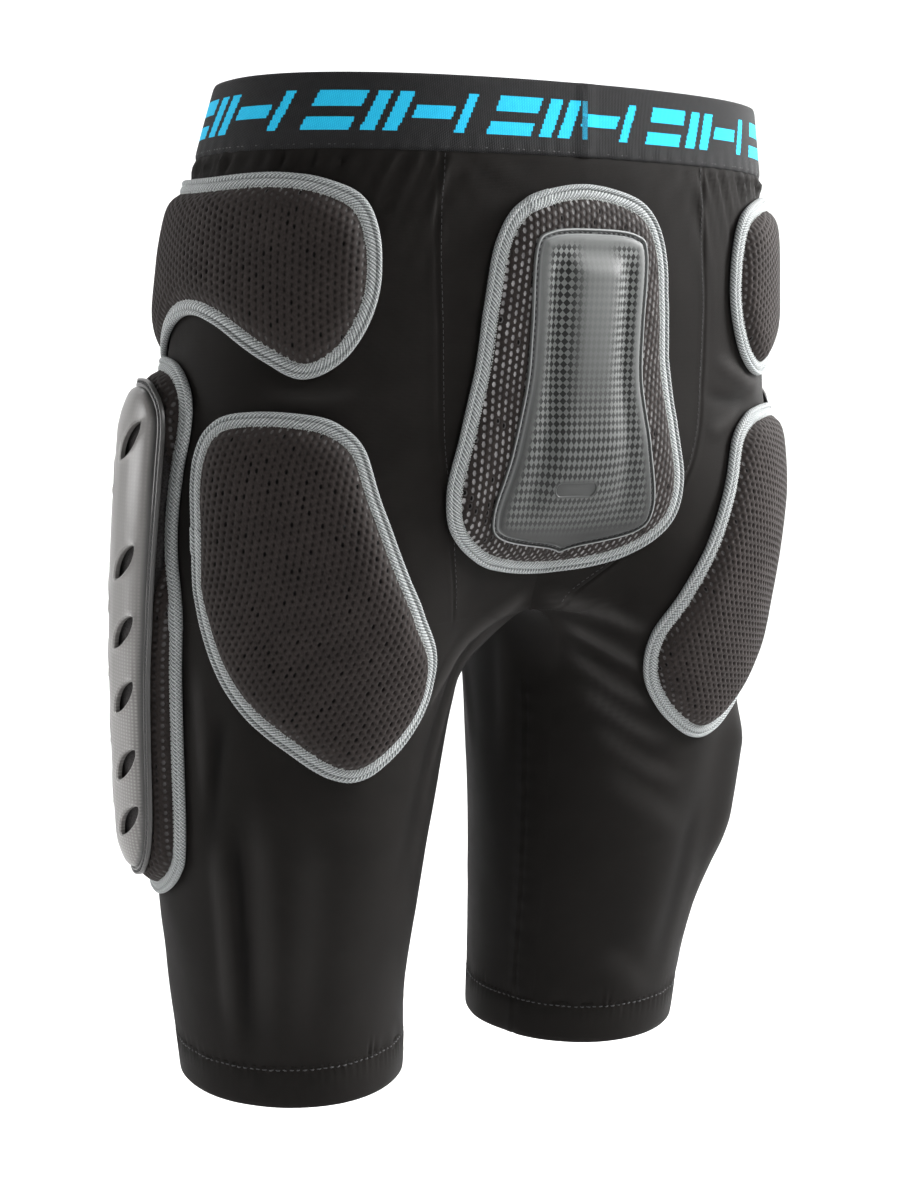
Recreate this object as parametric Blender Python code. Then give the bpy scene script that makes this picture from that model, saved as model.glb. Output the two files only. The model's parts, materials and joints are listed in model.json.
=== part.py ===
"""Padded impact shorts for skiing and snowboarding, adult size M.

Frame: metres, +Z up. The origin is the centre of the waistband's top edge.
The wearer's front is -Y and the wearer's left is +X. The shorts stand in their worn shape.

A garment has no hard frame, so the design starts from one skin: the outer face of the fabric.
side() and inner() give that skin for the left half. Panels are cut from it along their seams,
and every pad is drawn as a flat outline that is wrapped onto it and built up in layers.
"""

import bmesh
import bpy
import numpy as np
from math import cos, pi, radians, sin

MM = 0.001

# ---- driving dimensions: the skin -------------------------------------------------------------
WAISTBAND_HEIGHT = 0.038
CROTCH_Z = -0.283
HEM_Z = -0.568
HEM_HEIGHT = 0.025
FABRIC = 0.0014             # thickness of the stretch fabric
HEM_THICKNESS = 0.0024      # the hem is folded double
WAISTBAND_THICKNESS = 0.0022
SEAM_GAP = 0.0006           # clear distance between two panels along a seam

# Oval sections of the hips: height, half width, half depth, centre y.
HIP_SECTIONS = [
    (0.000, 0.1635, 0.0893, -0.0038),
    (-0.038, 0.1720, 0.0960, -0.0100),
    (-0.090, 0.1795, 0.1010, -0.0170),
    (-0.150, 0.1870, 0.0985, -0.0190),
    (-0.210, 0.1930, 0.0975, -0.0200),
    (-0.283, 0.1925, 0.0950, -0.0340),
]
# Round sections of the left thigh: height, centre x, centre y, half width.
THIGH_SECTIONS = [
    (-0.150, 0.0970, -0.0150, 0.0925),
    (-0.210, 0.1005, -0.0200, 0.0930),
    (-0.283, 0.1015, -0.0360, 0.0905),
    (-0.340, 0.1045, -0.0440, 0.0850),
    (-0.400, 0.1060, -0.0510, 0.0800),
    (-0.460, 0.1065, -0.0590, 0.0750),
    (-0.520, 0.1040, -0.0670, 0.0690),
    (-0.568, 0.1005, -0.0690, 0.0660),
]
THIGH_ASPECT = 1.08         # depth of a thigh section over its width
OVAL_POWER = 2.3            # 2 is an ellipse, more is squarer
HIP_FADE_Z = -0.180         # the hip oval starts to turn into two thighs here
ARCH_HEIGHT = 0.045         # height of the round arch between the thighs
INNER_ANGLE = radians(35)   # half the angle of a thigh section that faces the other thigh
CLEFT = 0.045               # rounds the skin where the two halves meet
BRIDGE = 0.08               # share of a half section that bridges to the other half
HIP_PIVOT = (0.100, -0.031, -0.180)   # axis on which a thigh swings, left side

# ---- driving dimensions: seams, as shares of the way from front centre (0) to back centre (1) ---
BACK_SEAM = [(0.0, 0.857), (-0.085, 0.857), (-0.130, 0.857), (-0.185, 0.867),
             (-0.215, 0.882), (-0.250, 0.935), (-0.283, 0.985)]
FRONT_SEAM = [(0.0, 0.150), (-0.100, 0.145), (-0.170, 0.130), (-0.225, 0.090), (-0.283, 0.015)]
GUSSET_DEPTH = 0.050        # how far the gusset runs down each inner thigh
LEG_ROUND = 0.50            # rough distance round one thigh, turns a gap into a share
INNER_LENGTH = 0.13         # distance across the inner thigh at the crotch
CROTCH_GAP = 0.0030         # the panels stop this far above the crotch, where the gusset starts

# ---- driving dimensions: pads, outlines in millimetres ----------------------------------------
# Each outline is drawn flat: distance round the body from the pad's own mid line, and height.
# A half outline is mirrored in its mid line.
TAILBONE_HALF = [(0, -52), (36, -60), (52, -80), (58, -115), (61, -145), (69, -180), (76, -212),
                 (70, -236), (44, -253), (0, -259)]
PLATE_HALF = [(0, -74), (27, -76), (36, -86), (36.5, -125), (38, -155), (46, -190), (55, -221),
              (47, -234), (0, -242)]
HIP_HALF = [(0, -51), (48, -50), (76, -55), (94, -66), (104, -90), (104, -116), (92, -141),
            (72, -152), (50, -143), (21, -125), (0, -120)]
THIGH_HALF = [(0, -143), (22, -147), (36, -160), (39, -178), (35, -203), (33, -228), (35, -250),
              (40, -272), (42, -310), (42, -405), (36, -430), (18, -445), (0, -448)]
SHELL_HALF = [(0, -155), (18, -158), (32, -172), (34, -200), (32, -260), (30, -330), (28, -400),
              (19, -428), (0, -436)]
GLUTE_OUTLINE = [(-8, -171), (10, -176), (24, -190), (29, -220), (34, -250), (44, -276), (57, -300),
                 (57, -325), (44, -348), (22, -365), (2, -364), (-25, -346), (-52, -324),
                 (-72, -296), (-83, -264), (-77, -232), (-67, -194), (-54, -175), (-33, -170)]

# Where each pad's mid line lies: share of the way from front centre to back centre, and a shift.
BACK_CENTRE = (1.0, 0.0)
HIP_LINE = (0.5, 0.012)
THIGH_LINE = (0.5, -0.018)
GLUTE_LINE = (0.75, 0.0)

PAD_GAP = 0.0010            # pad above the skin, room for the facets of both
BINDING_WIDTH = 0.007
BINDING_HEIGHT = 0.0044
COVER_GAP = 0.0005          # mesh cover to binding
FOAM_GAP = 0.0010           # foam to mesh cover
COVER_WALL = 0.0012
PAD_RISE = 0.0052           # height of a pad's side wall above the skin
SOFT_CROWN = 0.0118         # height of a soft pad's middle above the skin
TAILBONE_CROWN = 0.0100
THIGH_CROWN = 0.0150
PLATE_THICKNESS = 0.0026
SHELL_THICKNESS = 0.0028
OUTLINE_POINTS = 24         # more on a long outline that bends sharply
LONG_OUTLINE_POINTS = 32

# Slots in the thigh shell: distance from the shell's mid line, and heights of their centres.
SLOT_OFFSET = 0.016
REAR_SLOT_Z = [-0.188, -0.251, -0.290, -0.327, -0.366, -0.399]
FRONT_SLOT_Z = [-0.206, -0.271, -0.308, -0.346, -0.382]
SLOT_LENGTH = 0.023
SLOT_WIDTH = 0.0085
SLOT_SLANT = radians(38)

# ---- finishes: base colour, roughness, metallic -----------------------------------------------
FINISHES = {
    "stretch_fabric": ((0.030, 0.028, 0.028), 0.78, 0.0),
    "waist_elastic": ((0.020, 0.020, 0.021), 0.85, 0.0),
    "spacer_mesh": ((0.045, 0.036, 0.034), 0.90, 0.0),
    "binding_tape": ((0.300, 0.305, 0.310), 0.80, 0.0),
    "foam": ((0.120, 0.120, 0.125), 0.95, 0.0),
    "moulded_plate": ((0.075, 0.075, 0.075), 0.45, 0.0),
    "shell_plastic": ((0.160, 0.160, 0.160), 0.38, 0.0),
}


# ---- the skin -----------------------------------------------------------------------------------
def smooth(low, high, value):
    """0 at low, 1 at high, with a level start and end."""
    u = np.clip((value - low) / (high - low), 0, 1)
    return u * u * (3 - 2 * u)


def through(rows, column, z):
    """Smooth curve through one column of a table whose first column is the height."""
    table = np.array(sorted(rows))
    heights, values = table[:, 0], table[:, column]
    slopes = np.gradient(values, heights)
    z = np.clip(z, heights[0], heights[-1])
    i = np.clip(np.searchsorted(heights, z) - 1, 0, len(heights) - 2)
    span = heights[i + 1] - heights[i]
    u = (z - heights[i]) / span
    start = (2 * u**3 - 3 * u**2 + 1) * values[i] + (u**3 - 2 * u**2 + u) * span * slopes[i]
    end = (3 * u**2 - 2 * u**3) * values[i + 1] + (u**3 - u**2) * span * slopes[i + 1]
    return start + end


def arch(z):
    """1 at the crotch and above, 0 where the thighs are fully apart, round in between."""
    u = np.clip((CROTCH_Z - z) / ARCH_HEIGHT, 0, 1)
    return 1 - np.sqrt(np.clip(1 - (1 - u)**2, 0, 1))


def joined(z):
    """As arch(), but with a level start and end."""
    return smooth(CROTCH_Z - ARCH_HEIGHT, CROTCH_Z, z)


def side(t, z):
    """Skin of the left half: t runs from front centre (0) round the outside to back centre (1)."""
    t, z = np.broadcast_arrays(np.asarray(t, float), np.asarray(z, float))
    turn = -pi / 2 + pi * t
    half_width, half_depth, centre_y = (through(HIP_SECTIONS, k, z) for k in (1, 2, 3))
    hip_x = half_width * np.sign(np.cos(turn)) * np.abs(np.cos(turn))**(2 / OVAL_POWER)
    hip_y = centre_y + half_depth * np.sign(np.sin(turn)) * np.abs(np.sin(turn))**(2 / OVAL_POWER)

    thigh_x, thigh_y, radius = (through(THIGH_SECTIONS, k, z) for k in (1, 2, 3))
    sweep = 2 * pi - 2 * INNER_ANGLE
    bridge = smooth(BRIDGE, 0.0, np.minimum(t, 1 - t))
    x = (thigh_x + radius * np.cos(-sweep / 2 + t * sweep)) * (1 - bridge * arch(z))
    rounded = np.sqrt((0.5 - np.abs(t - 0.5))**2 + (CLEFT * joined(z))**2)
    t_depth = np.where(t > 0.5, 1 - rounded, rounded)
    y = thigh_y + radius * THIGH_ASPECT * np.sin(-sweep / 2 + t_depth * sweep)

    split = smooth(HIP_FADE_Z, CROTCH_Z, z)
    return np.stack([(1 - split) * hip_x + split * x, (1 - split) * hip_y + split * y, z], -1)


def inner(u, z):
    """Skin of the left inner thigh, below the crotch: u runs from back (0) to front (1)."""
    u, z = np.broadcast_arrays(np.asarray(u, float), np.asarray(z, float))
    thigh_x, thigh_y, radius = (through(THIGH_SECTIONS, k, z) for k in (1, 2, 3))
    sweep = 2 * pi - 2 * INNER_ANGLE
    x = (thigh_x + radius * np.cos(pi - INNER_ANGLE + 2 * u * INNER_ANGLE)) * (1 - arch(z))
    reach = INNER_ANGLE + sweep * CLEFT * joined(z)
    y = thigh_y + radius * THIGH_ASPECT * np.sin(pi - reach + 2 * u * reach)
    return np.stack([x, y, z], -1)


def skin_table():
    """The whole section at every millimetre of height, and the distance round each section."""
    heights = np.arange(HEM_Z, 0.0, 1.0 * MM)
    half = side(SKIN_SHARES[None, :], heights[:, None])
    steps = np.linalg.norm(np.diff(half, axis=1), axis=2)
    run = np.concatenate([np.zeros((len(heights), 1)), np.cumsum(steps, axis=1)], axis=1)
    other = half[:, ::-1] * [-1, 1, 1]
    points = np.concatenate([other[:, :-1], half, other[:, 1:]], axis=1)
    total = run[:, -1:]
    distance = np.concatenate([(run - total)[:, :-1], run, (run + total)[:, 1:]], axis=1)
    return heights, points, distance, run


SKIN_SHARES = np.linspace(0, 1, 161)
SKIN_Z, SKIN_POINTS, SKIN_DISTANCE, SKIN_RUN = skin_table()


def on_skin(line, run, z):
    """Point of the skin run metres round the body from a pad's mid line, at height z."""
    anchor, shift = line
    place = np.clip((z - SKIN_Z[0]) / MM, 0, len(SKIN_Z) - 1.001)
    low = int(place)
    found = []
    for row in (low, low + 1):
        start = np.interp(anchor, SKIN_SHARES, SKIN_RUN[row])
        distance = SKIN_DISTANCE[row] - start
        found.append([np.interp(run + shift, distance, SKIN_POINTS[row, :, k]) for k in range(3)])
    return np.array(found[0]) * (low + 1 - place) + np.array(found[1]) * (place - low)


def spot(line, run, z, lift):
    """Point lifted off the skin, run metres round the body from a pad's mid line."""
    reach = 3 * MM
    across = on_skin(line, run + reach, z) - on_skin(line, run - reach, z)
    up = on_skin(line, run, z + reach) - on_skin(line, run, z - reach)
    normal = np.cross(across, up)
    return on_skin(line, run, z) + lift * normal / np.linalg.norm(normal)


# ---- meshes -------------------------------------------------------------------------------------
def finish(finish_name):
    material = bpy.data.materials.new(finish_name)
    material.use_nodes = True
    colour, roughness, metallic = FINISHES[finish_name]
    shader = material.node_tree.nodes["Principled BSDF"]
    shader.inputs["Base Color"].default_value = (*colour, 1)
    shader.inputs["Roughness"].default_value = roughness
    shader.inputs["Metallic"].default_value = metallic
    material.diffuse_color = (*colour, 1)
    return material


def add_object(name, vertices, faces, finish_name, parent=None):
    mesh = bpy.data.meshes.new(name)
    mesh.from_pydata([tuple(v) for v in vertices], [], faces)
    shape = bmesh.new()
    shape.from_mesh(mesh)
    if shape.calc_volume(signed=True) < 0:
        bmesh.ops.reverse_faces(shape, faces=shape.faces)
    shape.to_mesh(mesh)
    shape.free()
    mesh.shade_smooth()
    mesh.set_sharp_from_angle(angle=radians(40))
    mesh.materials.append(finish(finish_name))
    piece = bpy.data.objects.new(name, mesh)
    bpy.context.collection.objects.link(piece)
    if parent is not None:
        piece.parent = parent
        piece.matrix_parent_inverse = parent.matrix_basis.inverted()
    return piece


def mirrored(vertices, faces, hand):
    """The left-hand solid (hand 1) or its right-hand twin (hand -1)."""
    return [(hand * x, y, z) for x, y, z in vertices], faces


def ring_faces(ring_count, size, closed, turn):
    """Triangles between rings of equal size; closed joins the last ring to the first.

    From ring number turn on, the surface runs back the way it came, and its diagonals are
    switched so that both skins of a thin wall bend along the same lines.
    """
    faces = []
    for ring in range(ring_count if closed else ring_count - 1):
        a, b = ring * size, ((ring + 1) % ring_count) * size
        for i in range(size):
            j = (i + 1) % size
            if ring < turn:
                faces += [(a + i, a + j, b + j), (a + i, b + j, b + i)]
            else:
                faces += [(a + i, a + j, b + i), (a + j, b + j, b + i)]
    return faces


def ring_solid(rings):
    """A closed loop of rings, such as a band or a binding."""
    vertices = [p for ring in rings for p in ring]
    return vertices, ring_faces(len(rings), len(rings[0]), True, len(rings))


def capped_solid(first, rings, last, turn):
    """A point, a stack of rings and a point: a dish, a cushion or a domed plate."""
    size = len(rings[0])
    vertices = [p for ring in rings for p in ring] + [first, last]
    faces = ring_faces(len(rings), size, False, turn)
    top, bottom = len(vertices) - 2, len(vertices) - 1
    end = (len(rings) - 1) * size
    for i in range(size):
        j = (i + 1) % size
        faces.append((top, j, i))
        faces.append((bottom, end + i, end + j))
    return vertices, faces


def sheet_solid(grid, thickness):
    """A grid of skin points thickened inward: rows run down, columns to the right from outside."""
    rows, columns = grid.shape[:2]
    normal = np.cross(np.gradient(grid, axis=0), np.gradient(grid, axis=1))
    normal /= np.linalg.norm(normal, axis=-1, keepdims=True)
    outer = grid.reshape(-1, 3)
    backing = (grid - thickness * normal).reshape(-1, 3)
    vertices = list(outer) + list(backing)
    count = rows * columns
    faces = []
    for r in range(rows - 1):
        for c in range(columns - 1):
            a, b = r * columns + c, (r + 1) * columns + c
            faces.append((a, a + 1, b + 1, b))
            faces.append((count + a, count + b, count + b + 1, count + a + 1))
    border = [c for c in range(columns - 1)]
    border += [r * columns + columns - 1 for r in range(rows - 1)]
    border += [(rows - 1) * columns + c for c in range(columns - 1, 0, -1)]
    border += [r * columns for r in range(rows - 1, 0, -1)]
    for a, b in zip(border, border[1:] + border[:1]):
        faces.append((b, a, count + a, count + b))
    return vertices, faces


# ---- panels -------------------------------------------------------------------------------------
INNER_SHARE = INNER_ANGLE / (2 * pi)
ARCH_STEPS = np.linspace(0.12, pi / 2, 6)   # rows shared by the gusset and the leg panels


def round_leg(share, z):
    """Skin of the left leg: share runs 0 to 1 from the inseam round the back, side and front."""
    if share < INNER_SHARE:
        return inner(0.5 - 0.5 * share / INNER_SHARE, z)
    if share > 1 - INNER_SHARE:
        return inner(0.5 + 0.5 * (1 - share) / INNER_SHARE, z)
    return side(1 - (share - INNER_SHARE) / (1 - 2 * INNER_SHARE), z)


def share_of(t):
    return INNER_SHARE + (1 - t) * (1 - 2 * INNER_SHARE)


def seam_at(rows, z):
    return float(through(rows, 1, z))


def gusset_share(z):
    """How far the gusset reaches from the inseam at height z, as a share of the leg section."""
    depth = min((CROTCH_Z - z) / GUSSET_DEPTH, 1)
    return INNER_SHARE * (1 - depth**2)**0.5


def leg_rows():
    """Heights of the leg panel's rows, closer together round the crotch."""
    top = -WAISTBAND_HEIGHT - SEAM_GAP / 2
    hips = np.linspace(top, HIP_FADE_Z, 5)
    seat = np.linspace(HIP_FADE_Z, CROTCH_Z + CROTCH_GAP, 6)[1:]
    arch_rows = CROTCH_Z - GUSSET_DEPTH * (1 - np.cos(ARCH_STEPS))
    thigh = np.linspace(CROTCH_Z - GUSSET_DEPTH, HEM_Z + HEM_HEIGHT + SEAM_GAP, 6)[1:]
    return np.concatenate([hips, seat, arch_rows, thigh])


def leg_panel(hand):
    gap = SEAM_GAP / LEG_ROUND
    rows = []
    for z in leg_rows():
        if z > CROTCH_Z:
            start = share_of(seam_at(BACK_SEAM, z)) + gap
            end = share_of(seam_at(FRONT_SEAM, z)) - gap
        else:
            start = gusset_share(z) + gap
            end = 1 - start
        rows.append([round_leg(share, z) for share in np.linspace(start, end, 21)])
    return mirrored(*sheet_solid(np.array(rows)[:, ::-1], FABRIC), hand)


def centre_panel(seam, middle):
    """Panel across the middle of the back (middle 1) or of the front (middle 0)."""
    top, bottom = -WAISTBAND_HEIGHT - SEAM_GAP / 2, CROTCH_Z + CROTCH_GAP
    rows = []
    for z in np.linspace(top, bottom, 11):
        reach = abs(middle - seam_at(seam, z)) - SEAM_GAP
        row = []
        for across in np.linspace(-1, 1, 9):
            t = middle - abs(across) * reach if middle else abs(across) * reach
            point = side(t, z)
            row.append(point * [1 if across >= 0 else -1, 1, 1])
        rows.append(row if middle else row[::-1])
    return sheet_solid(np.array(rows)[:, ::-1], FABRIC)


def crotch_gusset():
    half = []
    for step in [0, *ARCH_STEPS[:-1]]:
        z = CROTCH_Z - GUSSET_DEPTH * (1 - cos(step))
        corner = 1.8 * FABRIC * cos(step)**4    # clears the thick edges where four panels meet
        reach = 0.5 * gusset_share(z) / INNER_SHARE - (SEAM_GAP + corner) / INNER_LENGTH
        half.append([inner(u, z) for u in np.linspace(0.5 - reach, 0.5 + reach, 9)])
    half = np.array(half)
    other = half[:0:-1] * [-1, 1, 1]
    return sheet_solid(np.concatenate([other, half]), FABRIC)


def hoop(point_at, heights_and_insets, count):
    """Band round an opening: rings given by height and distance inside the skin."""
    rings = []
    for z, inset in heights_and_insets:
        ring = np.array([point_at(k / count, z) for k in range(count)])
        along = np.roll(ring, -1, axis=0) - np.roll(ring, 1, axis=0)
        outward = np.cross(along, [0, 0, 1])
        outward /= np.linalg.norm(outward, axis=1, keepdims=True)
        rings.append(ring - inset * outward)
    return ring_solid(rings)


def waistband():
    def point_at(share, z):
        if share < 0.5:
            return side(2 * share, z)
        return side(2 - 2 * share, z) * [-1, 1, 1]

    top, bottom = 0.0, -WAISTBAND_HEIGHT + SEAM_GAP / 2
    wall = WAISTBAND_THICKNESS
    section = [(top, wall), (top, 0), (bottom, 0), (bottom, wall)]
    return hoop(point_at, section, 40)


def hem(hand):
    top = HEM_Z + HEM_HEIGHT
    wall = HEM_THICKNESS
    section = [(top, 0), (HEM_Z, 0), (HEM_Z, wall), (top, wall)]

    def point_at(share, z):
        return round_leg(1 - share, z)

    return mirrored(*hoop(point_at, [section[3]] + section[:3], 28), hand)


# ---- pads ---------------------------------------------------------------------------------------
def closed_outline(points, count):
    """Smooth closed curve through the points, as equally spaced points, anticlockwise."""
    points = np.array(points, float) * MM
    dense = []
    total = len(points)
    for i in range(total):
        before, a, b, after = (points[(i + k) % total] for k in (-1, 0, 1, 2))
        for u in np.linspace(0, 1, 12, endpoint=False):
            dense.append(0.5 * (2 * a + (b - before) * u + (2 * before - 5 * a + 4 * b - after) * u**2
                                + (3 * a - before - 3 * b + after) * u**3))
    dense = np.array(dense + dense[:1])
    run = np.concatenate([[0], np.cumsum(np.linalg.norm(np.diff(dense, axis=0), axis=1))])
    even = np.linspace(0, run[-1], count, endpoint=False)
    outline = np.stack([np.interp(even, run, dense[:, k]) for k in (0, 1)], -1)
    nxt = np.roll(outline, -1, axis=0)
    area = np.sum(outline[:, 0] * nxt[:, 1] - nxt[:, 0] * outline[:, 1])
    return outline if area > 0 else outline[::-1]


def whole(half):
    """A half outline and its mirror image, as one closed outline."""
    return half + [(-x, z) for x, z in half[-2:0:-1]]


def inset(outline, distance):
    along = np.roll(outline, -1, axis=0) - np.roll(outline, 1, axis=0)
    along /= np.linalg.norm(along, axis=1, keepdims=True)
    return outline + distance * np.stack([-along[:, 1], along[:, 0]], -1)


def lay(line, flat, lift):
    return [tuple(spot(line, run, z, lift)) for run, z in flat]


def domed(line, outline, edge, steps, crown, under):
    """Closed dome: outer rings from the middle to the edge, then the underside back again.

    edge is a list of (inset, lift); steps is a list of (share of the way out, lift) used inside
    the first edge ring; crown is the middle's lift; under is the same three for the underside.
    """
    def half(edge, steps, crown):
        first = inset(outline, edge[0][0])
        middle = first.mean(axis=0)
        rings = [lay(line, middle + (first - middle) * share, lift) for share, lift in steps]
        rings += [lay(line, inset(outline, distance), lift) for distance, lift in edge]
        return tuple(spot(line, *middle, crown)), rings

    top, outer = half(edge, steps, crown)
    bottom, lower = half(*under)
    return capped_solid(top, outer + lower[::-1], bottom, len(outer))


def pad_profile(crown, down):
    """Profile of a pad's top face, down metres below the mesh cover's outer face."""
    edge = [(BINDING_WIDTH + 0.0040 + down, 0.70 * crown + 0.0008 - down),
            (BINDING_WIDTH + COVER_GAP + down, PAD_RISE - down)]
    steps = [(0.32, 0.985 * crown - down), (0.66, 0.93 * crown - down)]
    return edge, steps, crown - down


def mesh_cover(line, outline, crown):
    edge, steps, middle = pad_profile(crown, 0)
    edge.append((BINDING_WIDTH + COVER_GAP, PAD_GAP))
    inner_edge, inner_steps, inner_middle = pad_profile(crown, COVER_WALL)
    inner_edge.append((BINDING_WIDTH + COVER_GAP + COVER_WALL, PAD_GAP))
    return domed(line, outline, edge, steps, middle, (inner_edge, inner_steps, inner_middle))


def foam_core(line, outline, crown):
    down = COVER_WALL + FOAM_GAP
    edge, steps, middle = pad_profile(crown, down)
    foot = BINDING_WIDTH + COVER_GAP + down
    edge.append((foot, 1.5 * PAD_GAP))
    under = ([(foot + 0.004, 2.2 * PAD_GAP)], [(0.35, 3.4 * PAD_GAP), (0.7, 3 * PAD_GAP)], 3.4 * PAD_GAP)
    return domed(line, outline, edge, steps, middle, under)


def binding(line, outline):
    low, high = PAD_GAP, PAD_GAP + BINDING_HEIGHT
    section = [(0.0004, low), (0.0, 0.5 * (low + high)), (0.0018, high),
               (BINDING_WIDTH - 0.0016, high), (BINDING_WIDTH, 0.5 * (low + high)),
               (BINDING_WIDTH - 0.0003, low)]
    rings = [lay(line, inset(outline, distance), lift) for distance, lift in section[::-1]]
    return ring_solid(rings)


def tailbone_plate():
    """Moulded plate: raised rim lip, stitch groove, and a crowned field inside."""
    outline = closed_outline(whole(PLATE_HALF), OUTLINE_POINTS + 4)
    base = TAILBONE_CROWN + 0.0018
    top = base + PLATE_THICKNESS
    edge = [(0.0085, top + 0.0012), (0.0060, top - 0.0010), (0.0040, top - 0.0010),
            (0.0022, top + 0.0002), (0.0006, top - 0.0006), (0.0, base + 0.0004)]
    steps = [(0.45, top + 0.0030)]
    under = ([(0.0010, base)], [(0.5, base + 0.0012)], base + 0.0014)
    return domed(BACK_CENTRE, outline, edge, steps, top + 0.0036, under)


def thigh_shell_body():
    """Domed plastic shell with a flat flange round its foot."""
    outline = closed_outline(whole(SHELL_HALF), OUTLINE_POINTS + 4)
    base = THIGH_CROWN - 0.0010
    wall = SHELL_THICKNESS
    edge = [(0.0120, base + 0.0072), (0.0065, base + 0.0048), (0.0040, base + wall - 0.0010),
            (0.0012, base + wall - 0.0008), (0.0, base + 0.0006)]
    steps = [(0.50, base + 0.0098)]
    under = ([(0.0125, base + 0.0072 - wall), (0.0075, base + 0.0046 - wall), (0.0010, base)],
             [(0.50, base + 0.0096 - wall)], base + 0.0102 - wall)
    return domed(THIGH_LINE, outline, edge, steps, base + 0.0104, under)


def slot_cutter(offset, z, slant):
    """Leaf-shaped prism that passes right through the shell."""
    count = 8
    leaf = []
    for k in range(count):
        turn = 2 * pi * k / count
        along = 0.5 * SLOT_LENGTH * cos(turn)
        across = 0.5 * SLOT_WIDTH * sin(turn) * abs(sin(turn))**0.25
        leaf.append((offset + along * cos(slant) - across * sin(slant),
                     z + along * sin(slant) + across * cos(slant)))
    leaf = np.array(leaf)
    low = lay(THIGH_LINE, leaf, THIGH_CROWN - 0.004)
    high = lay(THIGH_LINE, leaf, THIGH_CROWN + 0.016)
    middle = leaf.mean(axis=0)
    return capped_solid(tuple(spot(THIGH_LINE, *middle, THIGH_CROWN + 0.016)), [high, low],
                        tuple(spot(THIGH_LINE, *middle, THIGH_CROWN - 0.004)), 2)


def thigh_shell(name, hand, parent):
    shell = add_object(name, *mirrored(*thigh_shell_body(), hand), "shell_plastic", parent)
    slots = [(SLOT_OFFSET, z, SLOT_SLANT) for z in REAR_SLOT_Z]
    slots += [(-SLOT_OFFSET, z, -SLOT_SLANT) for z in FRONT_SLOT_Z]
    vertices, faces = [], []
    for slot in slots:
        start = len(vertices)
        more_vertices, more_faces = mirrored(*slot_cutter(*slot), hand)
        vertices += more_vertices
        faces += [tuple(start + i for i in face) for face in more_faces]
    cutter = add_object(name + "_slots", vertices, faces, "shell_plastic")
    cutter.hide_render = True
    cutter.display_type = "WIRE"
    cut = shell.modifiers.new("slots", "BOOLEAN")
    cut.operation = "DIFFERENCE"
    cut.solver = "EXACT"
    cut.object = cutter
    return shell


def add_pad(name, line, outline, crown, hand, parent):
    """Foam core, mesh cover and edge binding of one pad."""
    layers = [
        ("foam", foam_core(line, outline, crown), "foam"),
        ("mesh_cover", mesh_cover(line, outline, crown), "spacer_mesh"),
        ("binding", binding(line, outline), "binding_tape"),
    ]
    for layer, solid, finish_name in layers:
        add_object(name + "_" + layer, *mirrored(*solid, hand), finish_name, parent)


# ---- the shorts ---------------------------------------------------------------------------------
def add_pivot(name, position):
    pivot = bpy.data.objects.new(name, None)
    pivot.location = position
    bpy.context.collection.objects.link(pivot)
    return pivot


def main():
    for old in list(bpy.data.objects):
        bpy.data.objects.remove(old)

    add_object("waistband", *waistband(), "waist_elastic")
    add_object("back_centre_panel", *centre_panel(BACK_SEAM, 1), "stretch_fabric")
    add_object("front_centre_panel", *centre_panel(FRONT_SEAM, 0), "stretch_fabric")
    add_object("crotch_gusset", *crotch_gusset(), "stretch_fabric")
    tailbone = closed_outline(whole(TAILBONE_HALF), OUTLINE_POINTS)
    hip = closed_outline(whole(HIP_HALF), LONG_OUTLINE_POINTS)
    glute = closed_outline(GLUTE_OUTLINE, OUTLINE_POINTS)
    thigh = closed_outline(whole(THIGH_HALF), LONG_OUTLINE_POINTS)
    add_pad("tailbone", BACK_CENTRE, tailbone, TAILBONE_CROWN, 1, None)
    add_object("tailbone_plate", *tailbone_plate(), "moulded_plate")

    for hand, name in ((1, "left"), (-1, "right")):
        pivot = add_pivot(name + "_hip_pivot", (hand * HIP_PIVOT[0], *HIP_PIVOT[1:]))
        add_object(name + "_leg_panel", *leg_panel(hand), "stretch_fabric", pivot)
        add_object(name + "_hem", *hem(hand), "stretch_fabric", pivot)
        add_pad(name + "_hip", HIP_LINE, hip, SOFT_CROWN, hand, None)
        add_pad(name + "_glute", GLUTE_LINE, glute, SOFT_CROWN, hand, pivot)
        add_pad(name + "_thigh", THIGH_LINE, thigh, THIGH_CROWN, hand, pivot)
        thigh_shell(name + "_thigh_shell", hand, pivot)


main()
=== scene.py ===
"""Padded impact shorts: the looks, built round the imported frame.

Frame: metres, +Z up, the wearer's front at -Y and the wearer's left at +X. The origin is the
centre of the waistband's top edge. Flat shapes are drawn in millimetres on the unrolled skin,
as (distance round the body, height), and are then wrapped onto it.
"""
import json
from math import cos, pi, radians, sin

import bpy
import numpy as np
from mathutils import Matrix, Vector, geometry, kdtree, noise

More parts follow.
